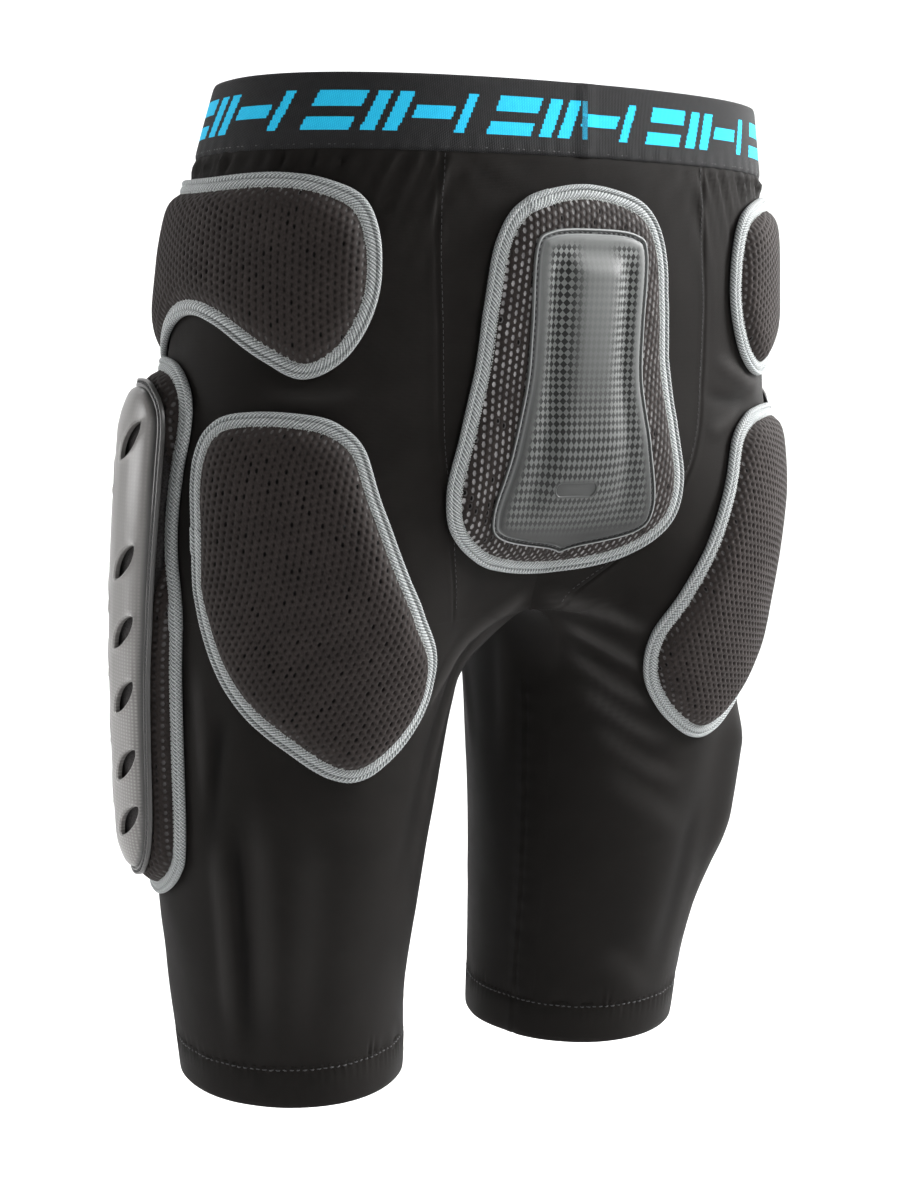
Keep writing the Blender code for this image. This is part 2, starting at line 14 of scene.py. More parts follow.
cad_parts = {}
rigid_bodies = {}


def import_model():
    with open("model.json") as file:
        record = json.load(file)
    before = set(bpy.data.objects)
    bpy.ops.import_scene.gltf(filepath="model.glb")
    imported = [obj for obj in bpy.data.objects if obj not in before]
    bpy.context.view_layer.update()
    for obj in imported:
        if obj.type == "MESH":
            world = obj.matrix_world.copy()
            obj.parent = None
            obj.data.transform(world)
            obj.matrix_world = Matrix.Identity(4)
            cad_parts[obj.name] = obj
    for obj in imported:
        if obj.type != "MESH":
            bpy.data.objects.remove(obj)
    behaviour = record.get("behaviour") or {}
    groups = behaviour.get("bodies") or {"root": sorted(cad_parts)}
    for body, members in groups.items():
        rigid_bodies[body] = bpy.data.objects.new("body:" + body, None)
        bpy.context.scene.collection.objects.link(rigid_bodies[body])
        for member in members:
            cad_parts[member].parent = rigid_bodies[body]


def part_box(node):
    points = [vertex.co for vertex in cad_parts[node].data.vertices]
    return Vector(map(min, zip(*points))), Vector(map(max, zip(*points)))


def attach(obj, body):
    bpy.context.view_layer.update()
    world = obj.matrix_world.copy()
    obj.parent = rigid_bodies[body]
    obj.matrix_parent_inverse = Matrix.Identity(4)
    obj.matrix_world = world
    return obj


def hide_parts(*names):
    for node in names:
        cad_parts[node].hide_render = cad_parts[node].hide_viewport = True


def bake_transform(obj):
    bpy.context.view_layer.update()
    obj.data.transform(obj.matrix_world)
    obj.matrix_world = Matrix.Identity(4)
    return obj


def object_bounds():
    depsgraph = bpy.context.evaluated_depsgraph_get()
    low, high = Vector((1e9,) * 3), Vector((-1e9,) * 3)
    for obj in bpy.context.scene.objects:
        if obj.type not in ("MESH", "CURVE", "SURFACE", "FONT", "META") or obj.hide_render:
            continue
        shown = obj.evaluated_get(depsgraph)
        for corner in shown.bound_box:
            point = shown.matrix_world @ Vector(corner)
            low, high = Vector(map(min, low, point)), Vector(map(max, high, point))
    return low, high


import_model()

CAD_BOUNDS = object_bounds()
MM = 0.001
CHANCE = np.random.default_rng(7)

# ---- the skin, as in the CAD ------------------------------------------------------------------
WAISTBAND_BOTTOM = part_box("waistband")[0][2]
HEM_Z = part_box("left_hem")[0][2]
HEM_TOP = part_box("left_hem")[1][2]
CROTCH_Z = -0.283
HIP_SECTIONS = [             # height, half width, half depth, centre y
    (0.000, 0.1635, 0.0893, -0.0038),
    (-0.038, 0.1720, 0.0960, -0.0100),
    (-0.090, 0.1795, 0.1010, -0.0170),
    (-0.150, 0.1870, 0.0985, -0.0190),
    (-0.210, 0.1930, 0.0975, -0.0200),
    (-0.283, 0.1925, 0.0950, -0.0340),
]
THIGH_SECTIONS = [           # height, centre x, centre y, half width
    (-0.150, 0.0970, -0.0150, 0.0925),
    (-0.210, 0.1005, -0.0200, 0.0930),
    (-0.283, 0.1015, -0.0360, 0.0905),
    (-0.340, 0.1045, -0.0440, 0.0850),
    (-0.400, 0.1060, -0.0510, 0.0800),
    (-0.460, 0.1065, -0.0590, 0.0750),
    (-0.520, 0.1040, -0.0670, 0.0690),
    (-0.568, 0.1005, -0.0690, 0.0660),
]
THIGH_ASPECT = 1.08
OVAL_POWER = 2.3
HIP_FADE_Z = -0.180
ARCH_HEIGHT = 0.045
INNER_ANGLE = radians(35)
CLEFT = 0.045
BRIDGE = 0.08
BACK_SEAM = {                # for the left and the right half: the panel sits slightly askew
    1: [(0.0, 0.857), (-0.085, 0.862), (-0.130, 0.872), (-0.185, 0.880), (-0.215, 0.884),
        (-0.250, 0.890), (-0.283, 0.905)],
    -1: [(0.0, 0.857), (-0.085, 0.855), (-0.130, 0.852), (-0.185, 0.862), (-0.215, 0.880),
         (-0.250, 0.925), (-0.283, 0.965)]}
FRONT_SEAM = [(0.0, 0.150), (-0.100, 0.145), (-0.170, 0.130), (-0.225, 0.090), (-0.283, 0.015)]

# ---- pad outlines, as in the CAD: half outlines are mirrored in the pad's mid line --------------
TAILBONE_HALF = [(0, -52), (36, -60), (52, -80), (58, -115), (61, -145), (69, -180), (76, -212),
                 (70, -236), (44, -253), (0, -259)]
PLATE_HALF = [(0, -74), (27, -76), (36, -86), (36.5, -125), (38, -155), (46, -190), (55, -221),
              (47, -234), (0, -242)]
HIP_HALF = [(0, -51), (48, -50), (76, -55), (94, -66), (104, -90), (104, -116), (92, -141),
            (72, -152), (50, -143), (21, -125), (0, -120)]
THIGH_HALF = [(0, -143), (22, -147), (36, -160), (39, -178), (35, -203), (33, -228), (35, -250),
              (40, -272), (42, -310), (42, -405), (36, -430), (18, -445), (0, -448)]
SHELL_HALF = [(0, -155), (18, -158), (32, -172), (34, -200), (32, -260), (30, -330), (28, -400),
              (19, -428), (0, -436)]
GLUTE_OUTLINE = [(-8, -171), (10, -176), (24, -190), (29, -220), (34, -250), (44, -276), (57, -300),
                 (57, -325), (44, -348), (22, -365), (2, -364), (-25, -346), (-52, -324),
                 (-72, -296), (-83, -264), (-77, -232), (-67, -194), (-54, -175), (-33, -170)]
# Mid lines: share of the way from front centre (0) to back centre (1), and a shift in metres.
BACK_CENTRE = (1.0, 0.0)
HIP_LINE = (0.5, 0.012)
THIGH_LINE = (0.5, -0.018)
GLUTE_LINE = (0.75, 0.0)
SOFT_CROWN = 11.8            # heights above the skin, in millimetres
TAILBONE_CROWN = 10.0
THIGH_CROWN = 15.0
SLOT_OFFSET = 14.5           # millimetres from the shell's mid line
FRONT_SLOT_OFFSET = 10.5
REAR_SLOT_Z = [-188, -251, -290, -327, -366, -399]
FRONT_SLOT_Z = [-206, -271, -308, -346, -382]
SLOT_LENGTH = 25.0
SLOT_WIDTH = 8.5
SLOT_SLANT = radians(54)


# ---- skin functions -----------------------------------------------------------------------------
def smooth(low, high, value):
    """0 at low, 1 at high and a soft step between; low may be the greater."""
    u = np.clip((value - low) / (high - low), 0, 1)
    return u * u * (3 - 2 * u)


def through(rows, column, z):
    """Smooth curve through one column of a table whose first column is the height."""
    table = np.array(sorted(rows))
    heights, values = table[:, 0], table[:, column]
    slopes = np.gradient(values, heights)
    z = np.clip(z, heights[0], heights[-1])
    i = np.clip(np.searchsorted(heights, z) - 1, 0, len(heights) - 2)
    span = heights[i + 1] - heights[i]
    u = (z - heights[i]) / span
    start = (2 * u**3 - 3 * u**2 + 1) * values[i] + (u**3 - 2 * u**2 + u) * span * slopes[i]
    end = (3 * u**2 - 2 * u**3) * values[i + 1] + (u**3 - u**2) * span * slopes[i + 1]
    return start + end


def arch(z):
    """1 at the crotch, falling to 0 at the foot of the arch between the legs."""
    u = np.clip((CROTCH_Z - z) / ARCH_HEIGHT, 0, 1)
    return 1 - np.sqrt(np.clip(1 - (1 - u)**2, 0, 1))


def joined(z):
    """1 where the halves are joined, above the crotch, and 0 below the arch."""
    return smooth(CROTCH_Z - ARCH_HEIGHT, CROTCH_Z, z)


def side(t, z):
    """Skin of the left half: t runs from front centre (0) round the outside to back centre (1)."""
    t, z = np.broadcast_arrays(np.asarray(t, float), np.asarray(z, float))
    turn = -pi / 2 + pi * t
    half_width, half_depth, centre_y = (through(HIP_SECTIONS, k, z) for k in (1, 2, 3))
    hip_x = half_width * np.sign(np.cos(turn)) * np.abs(np.cos(turn))**(2 / OVAL_POWER)
    hip_y = centre_y + half_depth * np.sign(np.sin(turn)) * np.abs(np.sin(turn))**(2 / OVAL_POWER)

    thigh_x, thigh_y, radius = (through(THIGH_SECTIONS, k, z) for k in (1, 2, 3))
    sweep = 2 * pi - 2 * INNER_ANGLE
    bridge = smooth(BRIDGE, 0.0, np.minimum(t, 1 - t))
    x = (thigh_x + radius * np.cos(-sweep / 2 + t * sweep)) * (1 - bridge * arch(z))
    rounded = np.sqrt((0.5 - np.abs(t - 0.5))**2 + (CLEFT * joined(z))**2)
    t_depth = np.where(t > 0.5, 1 - rounded, rounded)
    y = thigh_y + radius * THIGH_ASPECT * np.sin(-sweep / 2 + t_depth * sweep)

    split = smooth(HIP_FADE_Z, CROTCH_Z, z)
    return np.stack([(1 - split) * hip_x + split * x, (1 - split) * hip_y + split * y, z], -1)


def inner(u, z):
    """Skin of the left inner thigh, below the crotch: u runs from back (0) to front (1)."""
    u, z = np.broadcast_arrays(np.asarray(u, float), np.asarray(z, float))
    thigh_x, thigh_y, radius = (through(THIGH_SECTIONS, k, z) for k in (1, 2, 3))
    sweep = 2 * pi - 2 * INNER_ANGLE
    x = (thigh_x + radius * np.cos(pi - INNER_ANGLE + 2 * u * INNER_ANGLE)) * (1 - arch(z))
    reach = INNER_ANGLE + sweep * CLEFT * joined(z)
    y = thigh_y + radius * THIGH_ASPECT * np.sin(pi - reach + 2 * u * reach)
    return np.stack([x, y, z], -1)


SHARES = np.linspace(0, 1, 161)
SKIN_Z = np.arange(HEM_Z, 0.0, MM)
HALF_SKIN = side(SHARES[None, :], SKIN_Z[:, None])
SKIN_RUN = np.concatenate([np.zeros((len(SKIN_Z), 1)),
                           np.cumsum(np.linalg.norm(np.diff(HALF_SKIN, axis=1), axis=2), axis=1)], 1)


def between_cells(table, row, column):
    """Numbers or points of a table at places between its rows and columns."""
    r, c = row.astype(int), column.astype(int)
    fr, fc = row - r, column - c
    if table.ndim == 3:
        fr, fc = fr[:, None], fc[:, None]
    low = table[r, c] * (1 - fc) + table[r, c + 1] * fc
    high = table[r + 1, c] * (1 - fc) + table[r + 1, c + 1] * fc
    return low * (1 - fr) + high * fr


def run_at(t, z):
    """Distance round the left half from front centre to share t, at height z."""
    row = np.clip((np.asarray(z) - SKIN_Z[0]) / MM, 0, len(SKIN_Z) - 1.001)
    column = np.clip(np.asarray(t), 0, 1) * (len(SHARES) - 1.001)
    return between_cells(SKIN_RUN, row, column)


class Wrap:
    """The skin unrolled round a pad's mid line. Called with flat millimetres, it gives metres."""
    REACH = 150              # how far the unrolled skin goes to each side, in millimetres

    def __init__(self, line):
        anchor, shift = line
        self.anchor, self.shift = anchor, shift
        other = HALF_SKIN[:, ::-1] * [-1, 1, 1]
        points = np.concatenate([other[:, :-1], HALF_SKIN, other[:, 1:]], axis=1)
        total = SKIN_RUN[:, -1:]
        distance = np.concatenate([(SKIN_RUN - total)[:, :-1], SKIN_RUN,
                                   (SKIN_RUN + total)[:, 1:]], axis=1)
        runs = np.arange(-self.REACH, self.REACH + 1) * MM + shift
        rows = []
        for row in range(len(SKIN_Z)):
            from_line = distance[row] - np.interp(anchor, SHARES, SKIN_RUN[row])
            rows.append([np.interp(runs, from_line, points[row, :, k]) for k in range(3)])
        self.points = np.array(rows).transpose(0, 2, 1)
        normals = np.cross(np.gradient(self.points, axis=1), np.gradient(self.points, axis=0))
        self.normals = normals / np.linalg.norm(normals, axis=2, keepdims=True)

    def __call__(self, flat, lift):
        """Points of the skin, raised by lift millimetres."""
        flat = np.asarray(flat, float)
        row = np.clip(flat[:, 1] - SKIN_Z[0] / MM, 0, len(SKIN_Z) - 1.001)
        column = np.clip(flat[:, 0] + self.REACH, 0, 2 * self.REACH - 0.001)
        raised = between_cells(self.normals, row, column)
        raised = raised * (np.broadcast_to(lift, len(flat)) * MM)[:, None]
        return between_cells(self.points, row, column) + raised

    def flat(self, t, z):
        """Flat millimetres of a place on the left half."""
        return np.stack([(run_at(t, z) - run_at(self.anchor, z) - self.shift) / MM,
                         np.asarray(z) / MM], -1)


# ---- lines and flat outlines --------------------------------------------------------------------
def run_along(points):
    """Distance along a line of points to each of them."""
    return np.concatenate([[0], np.cumsum(np.linalg.norm(np.diff(points, axis=0), axis=1))])


def points_at(wanted, run, points):
    """Points at the wanted distances along a line, of which run gives each point's distance."""
    return np.stack([np.interp(wanted, run, column) for column in points.T], -1)


def whole(half):
    """A half outline with its mirror image."""
    return half + [(-x, z) for x, z in half[-2:0:-1]]


def closed_outline(points, spacing):
    """Smooth closed curve through the points, evenly spaced, anticlockwise, in millimetres."""
    points = np.array(points, float)
    u = np.linspace(0, 1, 24, endpoint=False)[:, None]
    dense = []
    for i in range(len(points)):
        before, a, b, after = (points[(i + k) % len(points)] for k in (-1, 0, 1, 2))
        dense.append(0.5 * (2 * a + (b - before) * u + (2 * before - 5 * a + 4 * b - after) * u**2
                            + (3 * a - before - 3 * b + after) * u**3))
    dense = np.concatenate(dense + [dense[0][:1]])
    run = run_along(dense)
    even = np.linspace(0, run[-1], int(run[-1] / spacing), endpoint=False)
    outline = points_at(even, run, dense)
    following = np.roll(outline, -1, axis=0)
    area = np.sum(outline[:, 0] * following[:, 1] - following[:, 0] * outline[:, 1])
    return outline if area > 0 else outline[::-1]


def inset(outline, distance):
    """An outline moved inwards by a distance, or by one for each of its points."""
    along = np.roll(outline, -1, axis=0) - np.roll(outline, 1, axis=0)
    along /= np.linalg.norm(along, axis=1, keepdims=True)
    inward = np.stack([-along[:, 1], along[:, 0]], -1)
    return outline + np.broadcast_to(distance, len(outline))[:, None] * inward


def depth_inside(outline, flat):
    """How far each flat point lies inside an outline, in millimetres; negative outside."""
    nearest = np.full(len(flat), 1e9)
    odd = np.zeros(len(flat), bool)
    x, y = flat[:, 0], flat[:, 1]
    for a, b in zip(outline, np.roll(outline, -1, axis=0)):
        edge = b - a
        along = np.clip(((x - a[0]) * edge[0] + (y - a[1]) * edge[1]) / (edge @ edge), 0, 1)
        nearest = np.minimum(nearest, np.hypot(x - a[0] - along * edge[0], y - a[1] - along * edge[1]))
        if a[1] != b[1]:
            crosses = (a[1] > y) != (b[1] > y)
            odd ^= crosses & (x < a[0] + edge[0] * (y - a[1]) / edge[1])
    return np.where(odd, nearest, -nearest)


def waves(points, size, seed):
    """Smooth noise from -1 to 1 at points in metres; size is the width of a bump in metres."""
    offset = Vector((seed * 3.1, seed * 7.7, seed * 1.3))
    return np.array([noise.noise(Vector(p) / size + offset) for p in points])


def tree_of(points):
    """A search tree of points."""
    tree = kdtree.KDTree(len(points))
    for i, point in enumerate(points):
        tree.insert(point, i)
    tree.balance()
    return tree


# ---- meshes -------------------------------------------------------------------------------------
def grid_faces(rows, columns, closed=False):
    """Quads between rows of points; closed joins each row's last point to its first."""
    r = np.arange(rows - 1)[:, None]
    c = np.arange(columns if closed else columns - 1)[None, :]
    d = (c + 1) % columns
    a, b = r * columns, (r + 1) * columns
    return np.stack([a + c, a + d, b + d, b + c], -1).reshape(-1, 4).tolist()


def piece(name, vertices, faces, material, hand=1, flat=None, values=None):
    """A mesh object. flat is stored for its material, in millimetres, and so is each value."""
    vertices = np.asarray(vertices, float)
    if hand < 0:
        vertices = vertices * [-1, 1, 1]
        faces = [face[::-1] for face in faces]
    mesh = bpy.data.meshes.new(name)
    mesh.from_pydata(vertices.tolist(), [], faces)
    if flat is not None:
        flat = np.asarray(flat, float)
        if flat.shape[1] == 2:
            flat = np.concatenate([flat, np.zeros((len(flat), 1))], axis=1)
        stored = mesh.attributes.new("flat", "FLOAT_VECTOR", "POINT")
        stored.data.foreach_set("vector", flat.astype(np.float32).ravel())
    for key, numbers in (values or {}).items():
        stored = mesh.attributes.new(key, "FLOAT", "POINT")
        stored.data.foreach_set("value", np.asarray(numbers, np.float32))
    mesh.materials.append(material)
    mesh.shade_smooth()
    made = bpy.data.objects.new(name, mesh)
    bpy.context.collection.objects.link(made)
    return made


def joined_parts(parts):
    """Several (vertices, faces) as one."""
    vertices, faces, count = [], [], 0
    for points, polygons in parts:
        faces += [[count + i for i in polygon] for polygon in polygons]
        vertices.append(points)
        count += len(points)
    return np.concatenate(vertices), faces


def rings(stack, closed_ends=False):
    """Faces of a stack of equal rings; closed_ends joins the last ring to the first."""
    count, size = len(stack), len(stack[0])
    faces = grid_faces(count, size, closed=True)
    if closed_ends:
        last = (count - 1) * size
        faces += [[last + i, last + (i + 1) % size, (i + 1) % size, i] for i in range(size)]
    return faces


def thread(path, radius, closed=False, sides=6):
    """A round thread along a path of points in metres: vertices and faces."""
    path = np.asarray(path)
    if closed:
        along = np.roll(path, -1, axis=0) - np.roll(path, 1, axis=0)
    else:
        along = np.gradient(path, axis=0)
    along /= np.linalg.norm(along, axis=1, keepdims=True)
    reference = np.where(np.abs(along[:, 2:]) > 0.9, [[1.0, 0, 0]], [[0, 0, 1.0]])
    across = np.cross(along, reference)
    across /= np.linalg.norm(across, axis=1, keepdims=True)
    other = np.cross(along, across)
    turn = 2 * pi * np.arange(sides) / sides
    circle = (across[:, None] * np.cos(turn)[None, :, None]
              + other[:, None] * np.sin(turn)[None, :, None]) * radius
    if not closed:
        circle[[0, -1]] *= 0.3
    points = path[:, None] + circle
    faces = rings(points, closed_ends=closed)
    if not closed:
        last = (len(path) - 1) * sides
        faces += [list(range(sides))[::-1], [last + i for i in range(sides)]]
    return points.reshape(-1, 3), faces


STITCH_HUMP = np.array([-0.4, 0.75, 1.0, 0.75, -0.4])    # share of the lift along one stitch


def stitches(line, normals, length, gap, radius, lift):
    """Separate stitches along a line of closely spaced points: vertices and faces."""
    run = run_along(line)
    parts, start = [], 0.0
    while start + length < run[-1]:
        at = start + np.linspace(0, 1, len(STITCH_HUMP)) * length
        hump = points_at(at, run, normals) * (STITCH_HUMP * lift)[:, None]
        parts.append(thread(points_at(at, run, line) + hump, radius, sides=5))
        start += length + gap
    return joined_parts(parts)


# ---- materials ----------------------------------------------------------------------------------
class Finish:
    """A Principled material with short names for its nodes."""

    def __init__(self, name, **constants):
        self.material = bpy.data.materials.new(name)
        self.material.use_nodes = True
        self.tree = self.material.node_tree
        self.shader = self.tree.nodes["Principled BSDF"]
        for key, value in constants.items():
            self.shader.inputs[key.replace("_", " ")].default_value = value

    def node(self, kind, inputs=(), output=0, **settings):
        made = self.tree.nodes.new("ShaderNode" + kind)
        for key, value in settings.items():
            setattr(made, key, value)
        pairs = inputs.items() if isinstance(inputs, dict) else enumerate(inputs)
        for key, value in pairs:
            if isinstance(value, bpy.types.NodeSocket):
                self.tree.links.new(value, made.inputs[key])
            elif value is not None:
                made.inputs[key].default_value = value
        return made.outputs[output]

    def maths(self, operation, *values):
        return self.node("Math", values, operation=operation)

    def flat(self, scale=(1, 1, 1), turn=0.0):
        """The stored flat place in millimetres, scaled and turned about Z."""
        place = self.node("Attribute", attribute_name="flat", output=1)
        return self.node("Mapping", {"Vector": place, "Rotation": (0, 0, turn), "Scale": scale})

    def axis(self, number, scale=(1, 1, 1)):
        """One coordinate of the flat place: 0 runs round the body, 1 is the height."""
        return self.node("SeparateXYZ", [self.flat(scale)], output=number)

    def place(self):
        """The object's own coordinates, in metres."""
        return self.node("TexCoord", output=3)

    def value(self, name):
        return self.node("Attribute", attribute_name=name, output=2)

    def noise(self, place, scale, detail=2.0, rough=0.5):
        return self.node("TexNoise", {"Vector": place, "Scale": scale, "Detail": detail,
                                      "Roughness": rough})

    def wave(self, place, axis, scale, distortion=0.0, detail=0.0):
        return self.node("TexWave", {"Vector": place, "Scale": scale, "Distortion": distortion,
                                     "Detail": detail}, output=1, bands_direction=axis,
                         wave_profile="SIN")

    def ramp(self, factor, *stops):
        made = self.tree.nodes.new("ShaderNodeValToRGB")
        self.tree.links.new(factor, made.inputs[0])
        elements = made.color_ramp.elements
        while len(elements) < len(stops):
            elements.new(0.5)
        for element, (place, colour) in zip(elements, stops):
            element.position = place
            shade = (colour,) * 3 if isinstance(colour, (int, float)) else colour
            element.color = (*shade, 1)
        return made.outputs[0]

    def mix(self, factor, first, second):
        made = self.tree.nodes.new("ShaderNodeMix")
        made.data_type = "RGBA"
        for key, value in ((0, factor), (6, first), (7, second)):
            if isinstance(value, bpy.types.NodeSocket):
                self.tree.links.new(value, made.inputs[key])
            else:
                made.inputs[key].default_value = (*value, 1) if isinstance(value, tuple) else value
        return made.outputs[2]

    def colour(self, socket):
        self.tree.links.new(socket, self.shader.inputs["Base Color"])

    def roughness(self, socket):
        self.tree.links.new(socket, self.shader.inputs["Roughness"])

    def bump(self, height, strength, distance):
        """distance is the depth of the relief in metres."""
        out = self.node("Bump", {"Strength": strength, "Distance": distance, "Height": height})
        self.tree.links.new(out, self.shader.inputs["Normal"])


def jersey_finish():
    """Black stretch knit, with a painted highlight on the crests of its folds and painted shade in
    their valleys.
    """
    f = Finish("jersey", Sheen_Weight=0.025, Sheen_Roughness=0.40,
               Sheen_Tint=(0.75, 0.76, 0.80, 1), Specular_IOR_Level=0.04)
    ribs = f.wave(f.flat(), "X", 0.55, 0.6, 1.0)
    courses = f.wave(f.flat(), "Y", 0.42, 1.2, 1.0)
    knit = f.maths("MULTIPLY_ADD", courses, 0.45, ribs)
    mottle = f.noise(f.flat(), 0.035, 4.0, 0.6)
    lint = f.noise(f.flat(), 1.3, 2.0)
    shade = f.maths("MULTIPLY_ADD", lint, 0.25, mottle)
    cloth = f.ramp(shade, (0.35, (0.0060, 0.0053, 0.0048)), (0.85, (0.0100, 0.0090, 0.0082)))
    # Painted light: fold crests are coloured paler as a painted highlight, and fold valleys darker as
    # painted shade.
    painted_fold_shade = f.value("painted_fold_shade")
    painted_crest_light = f.mix(f.maths("MAXIMUM", painted_fold_shade, 0.0), cloth, (0.025, 0.0235, 0.0225))
    f.colour(f.mix(f.maths("MAXIMUM", f.maths("MULTIPLY", painted_fold_shade, -1.0), 0.0), painted_crest_light,
                   (0.0015, 0.0014, 0.0013)))
    f.roughness(f.ramp(mottle, (0.3, 0.60), (0.7, 0.72)))
    f.bump(knit, 0.35, 0.00012)
    return f.material


def elastic_finish():
    """Black woven elastic with a generic cyan pattern of slanted bars woven in."""
    f = Finish("waist_elastic", Sheen_Weight=0.03, Sheen_Roughness=0.4, Specular_IOR_Level=0.12)
    ends = f.wave(f.flat(), "X", 0.33, 0.3, 1.0)
    picks = f.wave(f.flat(turn=radians(20)), "Y", 0.45, 0.5, 1.0)
    weave = f.maths("MULTIPLY", ends, picks)
    mottle = f.noise(f.flat(), 0.25, 3.0)
    black = f.ramp(f.maths("MULTIPLY_ADD", mottle, 0.4, weave),
                   (0.1, (0.005, 0.005, 0.0052)), (1.0, (0.025, 0.025, 0.026)))
    cyan = f.ramp(f.maths("MULTIPLY_ADD", mottle, 0.5, weave),
                  (0.0, (0.006, 0.30, 0.52)), (1.0, (0.028, 0.52, 0.78)))
    f.colour(f.mix(woven_bars(f), black, cyan))
    f.roughness(f.ramp(weave, (0.0, 0.85), (1.0, 0.62)))
    f.bump(weave, 0.6, 0.00025)
    return f.material


# The pattern in the waistband, in millimetres. Each bar: where it starts in the repeat, how wide
# it is, and the lowest and highest share of the pattern's height.
BARS = [(0, 24, 0.0, 0.36), (0, 24, 0.62, 1.0), (29, 7, 0.0, 1.0), (40, 7, 0.0, 1.0),
        (51, 20, 0.30, 0.70), (75, 5, 0.0, 1.0)]
BAR_REPEAT = 92.0
BAR_SLANT = -0.36
BARS_LOW = -29.0
BARS_HEIGHT = 19.0
CLEAR_MIDDLE = -19.5         # nothing is woven in beyond CLEAR_REACH of this height
CLEAR_REACH = 9.2
THREAD_STEP = 0.9
ROW_STEP = 1.3


def woven_bars(f):
    """1 on the bars and 0 between them, with edges stepped by the weave."""
    stepped_x = f.maths("SNAP", f.axis(0), THREAD_STEP)
    stepped_z = f.maths("SNAP", f.axis(1), ROW_STEP)
    slanted = f.maths("MULTIPLY_ADD", stepped_z, BAR_SLANT, stepped_x)
    bars = None
    for start, width, low, high in BARS:
        place_in = f.maths("FLOORED_MODULO", f.maths("SUBTRACT", slanted, start), BAR_REPEAT)
        across = f.maths("LESS_THAN", place_in, width)
        above = f.maths("GREATER_THAN", stepped_z, BARS_LOW + BARS_HEIGHT * low)
        below = f.maths("LESS_THAN", stepped_z, BARS_LOW + BARS_HEIGHT * high)
        bar = f.maths("MULTIPLY", across, f.maths("MULTIPLY", above, below))
        bars = bar if bars is None else f.maths("MAXIMUM", bars, bar)
    return f.maths("MULTIPLY", bars, f.maths("COMPARE", stepped_z, CLEAR_MIDDLE, CLEAR_REACH))


def mesh_finish():
    """Black-brown open net; its pits are dark, and pale near the pad's edge."""
    f = Finish("spacer_mesh", Sheen_Weight=0.03, Sheen_Roughness=0.45, Roughness=0.75,
               Sheen_Tint=(0.80, 0.76, 0.76, 1), Specular_IOR_Level=0.12)
    fibre = f.noise(f.flat((1.0, 0.45, 1.0), radians(25)), 1.6, 3.0)
    mottle = f.noise(f.flat(), 0.05, 3.0)
    yarn = f.ramp(f.maths("MULTIPLY_ADD", mottle, 0.5, fibre),
                  (0.35, (0.0080, 0.0062, 0.0056)), (1.0, (0.0245, 0.0195, 0.018)))
    pit = f.ramp(f.value("pale"), (0.0, (0.003, 0.0025, 0.0025)), (1.0, (0.46, 0.45, 0.45)))
    f.colour(f.mix(f.ramp(f.value("pit"), (0.25, 0.0), (0.95, 1.0)), yarn, pit))
    f.bump(fibre, 0.5, 0.0002)
    return f.material


def tape_finish():
    """Light grey melange twill tape: pale slanted strands with dark ones among them, and a painted
    highlight on each rib with painted shade between the ribs.
    """
    f = Finish("binding_tape", Sheen_Weight=0.2, Sheen_Roughness=0.4, Roughness=0.78,
               Specular_IOR_Level=0.35)
    strands = f.wave(f.flat(turn=radians(38)), "X", 0.30, 1.6, 2.0)
    fleck = f.noise(f.flat((0.5, 1.6, 1), radians(38)), 1.9, 4.0, 0.7)
    fine = f.maths("MULTIPLY_ADD", strands, 0.22, fleck)
    # Partly painted light: the strands are the twill's own colour, while the ribs' crests are painted
    # paler and their hollows darker.
    strands_and_rib_shade = f.maths("MULTIPLY_ADD", f.value("rib"), 0.30, fine)
    f.colour(f.ramp(strands_and_rib_shade, (0.36, (0.055, 0.06, 0.06)), (0.62, (0.21, 0.222, 0.222)),
                    (0.92, (0.54, 0.565, 0.565))))
    f.bump(strands_and_rib_shade, 0.8, 0.0003)
    return f.material


def thread_finish(name, colour):
    """Sewing thread, with darker flecks for its twist."""
    f = Finish(name, Sheen_Weight=0.2, Roughness=0.6, Specular_IOR_Level=0.4)
    dark = tuple(0.6 * c for c in colour)
    f.colour(f.ramp(f.noise(f.place(), 2200.0, 2.0), (0.3, dark), (0.7, colour)))
    return f.material


def foam_finish():
    """Near-black foam with fine cells."""
    f = Finish("foam", Roughness=0.95, Specular_IOR_Level=0.2)
    cells = f.node("TexVoronoi", {"Vector": f.place(), "Scale": 900.0})
    f.colour(f.ramp(cells, (0.0, (0.012, 0.011, 0.011)), (0.8, (0.045, 0.042, 0.042))))
    f.bump(cells, 0.5, 0.0002)
    return f.material


def plate_finish():
    """Moulded plate: a fine check of pale and dark diamonds on its raised field, with painted
    highlight on its lip and across its upper middle, and painted shade towards its foot.
    """
    f = Finish("moulded_plate", Specular_IOR_Level=0.24)
    diamonds = check(f, 1.55, 2.0)
    field = f.value("field")
    gloss = f.maths("MULTIPLY", diamonds, field)
    grain = f.noise(f.flat(), 2.5, 3.0)
    # Painted shade: all the plate's colours darken towards its foot, where it turns away from the
    # light.
    painted_top_light = f.node("MapRange", [f.axis(1), -232.0, -110.0, 0.0, 1.0])
    border = f.mix(painted_top_light, (0.014, 0.0145, 0.014), (0.100, 0.104, 0.102))
    light = f.mix(painted_top_light, (0.055, 0.057, 0.055), (0.125, 0.130, 0.127))
    # Painted highlight: a pale line on the lip, where its glossy edge would catch the light.
    edge = f.mix(f.value("lip_highlight"), border, (0.30, 0.31, 0.31))
    plain = f.mix(field, edge, (0.008, 0.0085, 0.008))
    f.colour(f.mix(gloss, plain, light))
    base = f.maths("MULTIPLY_ADD", grain, 0.08, 0.45)
    f.roughness(f.maths("MULTIPLY_ADD", gloss, 0.12, base))
    f.bump(f.maths("MULTIPLY_ADD", grain, 0.25, gloss), 0.35, 0.0001)
    return f.material


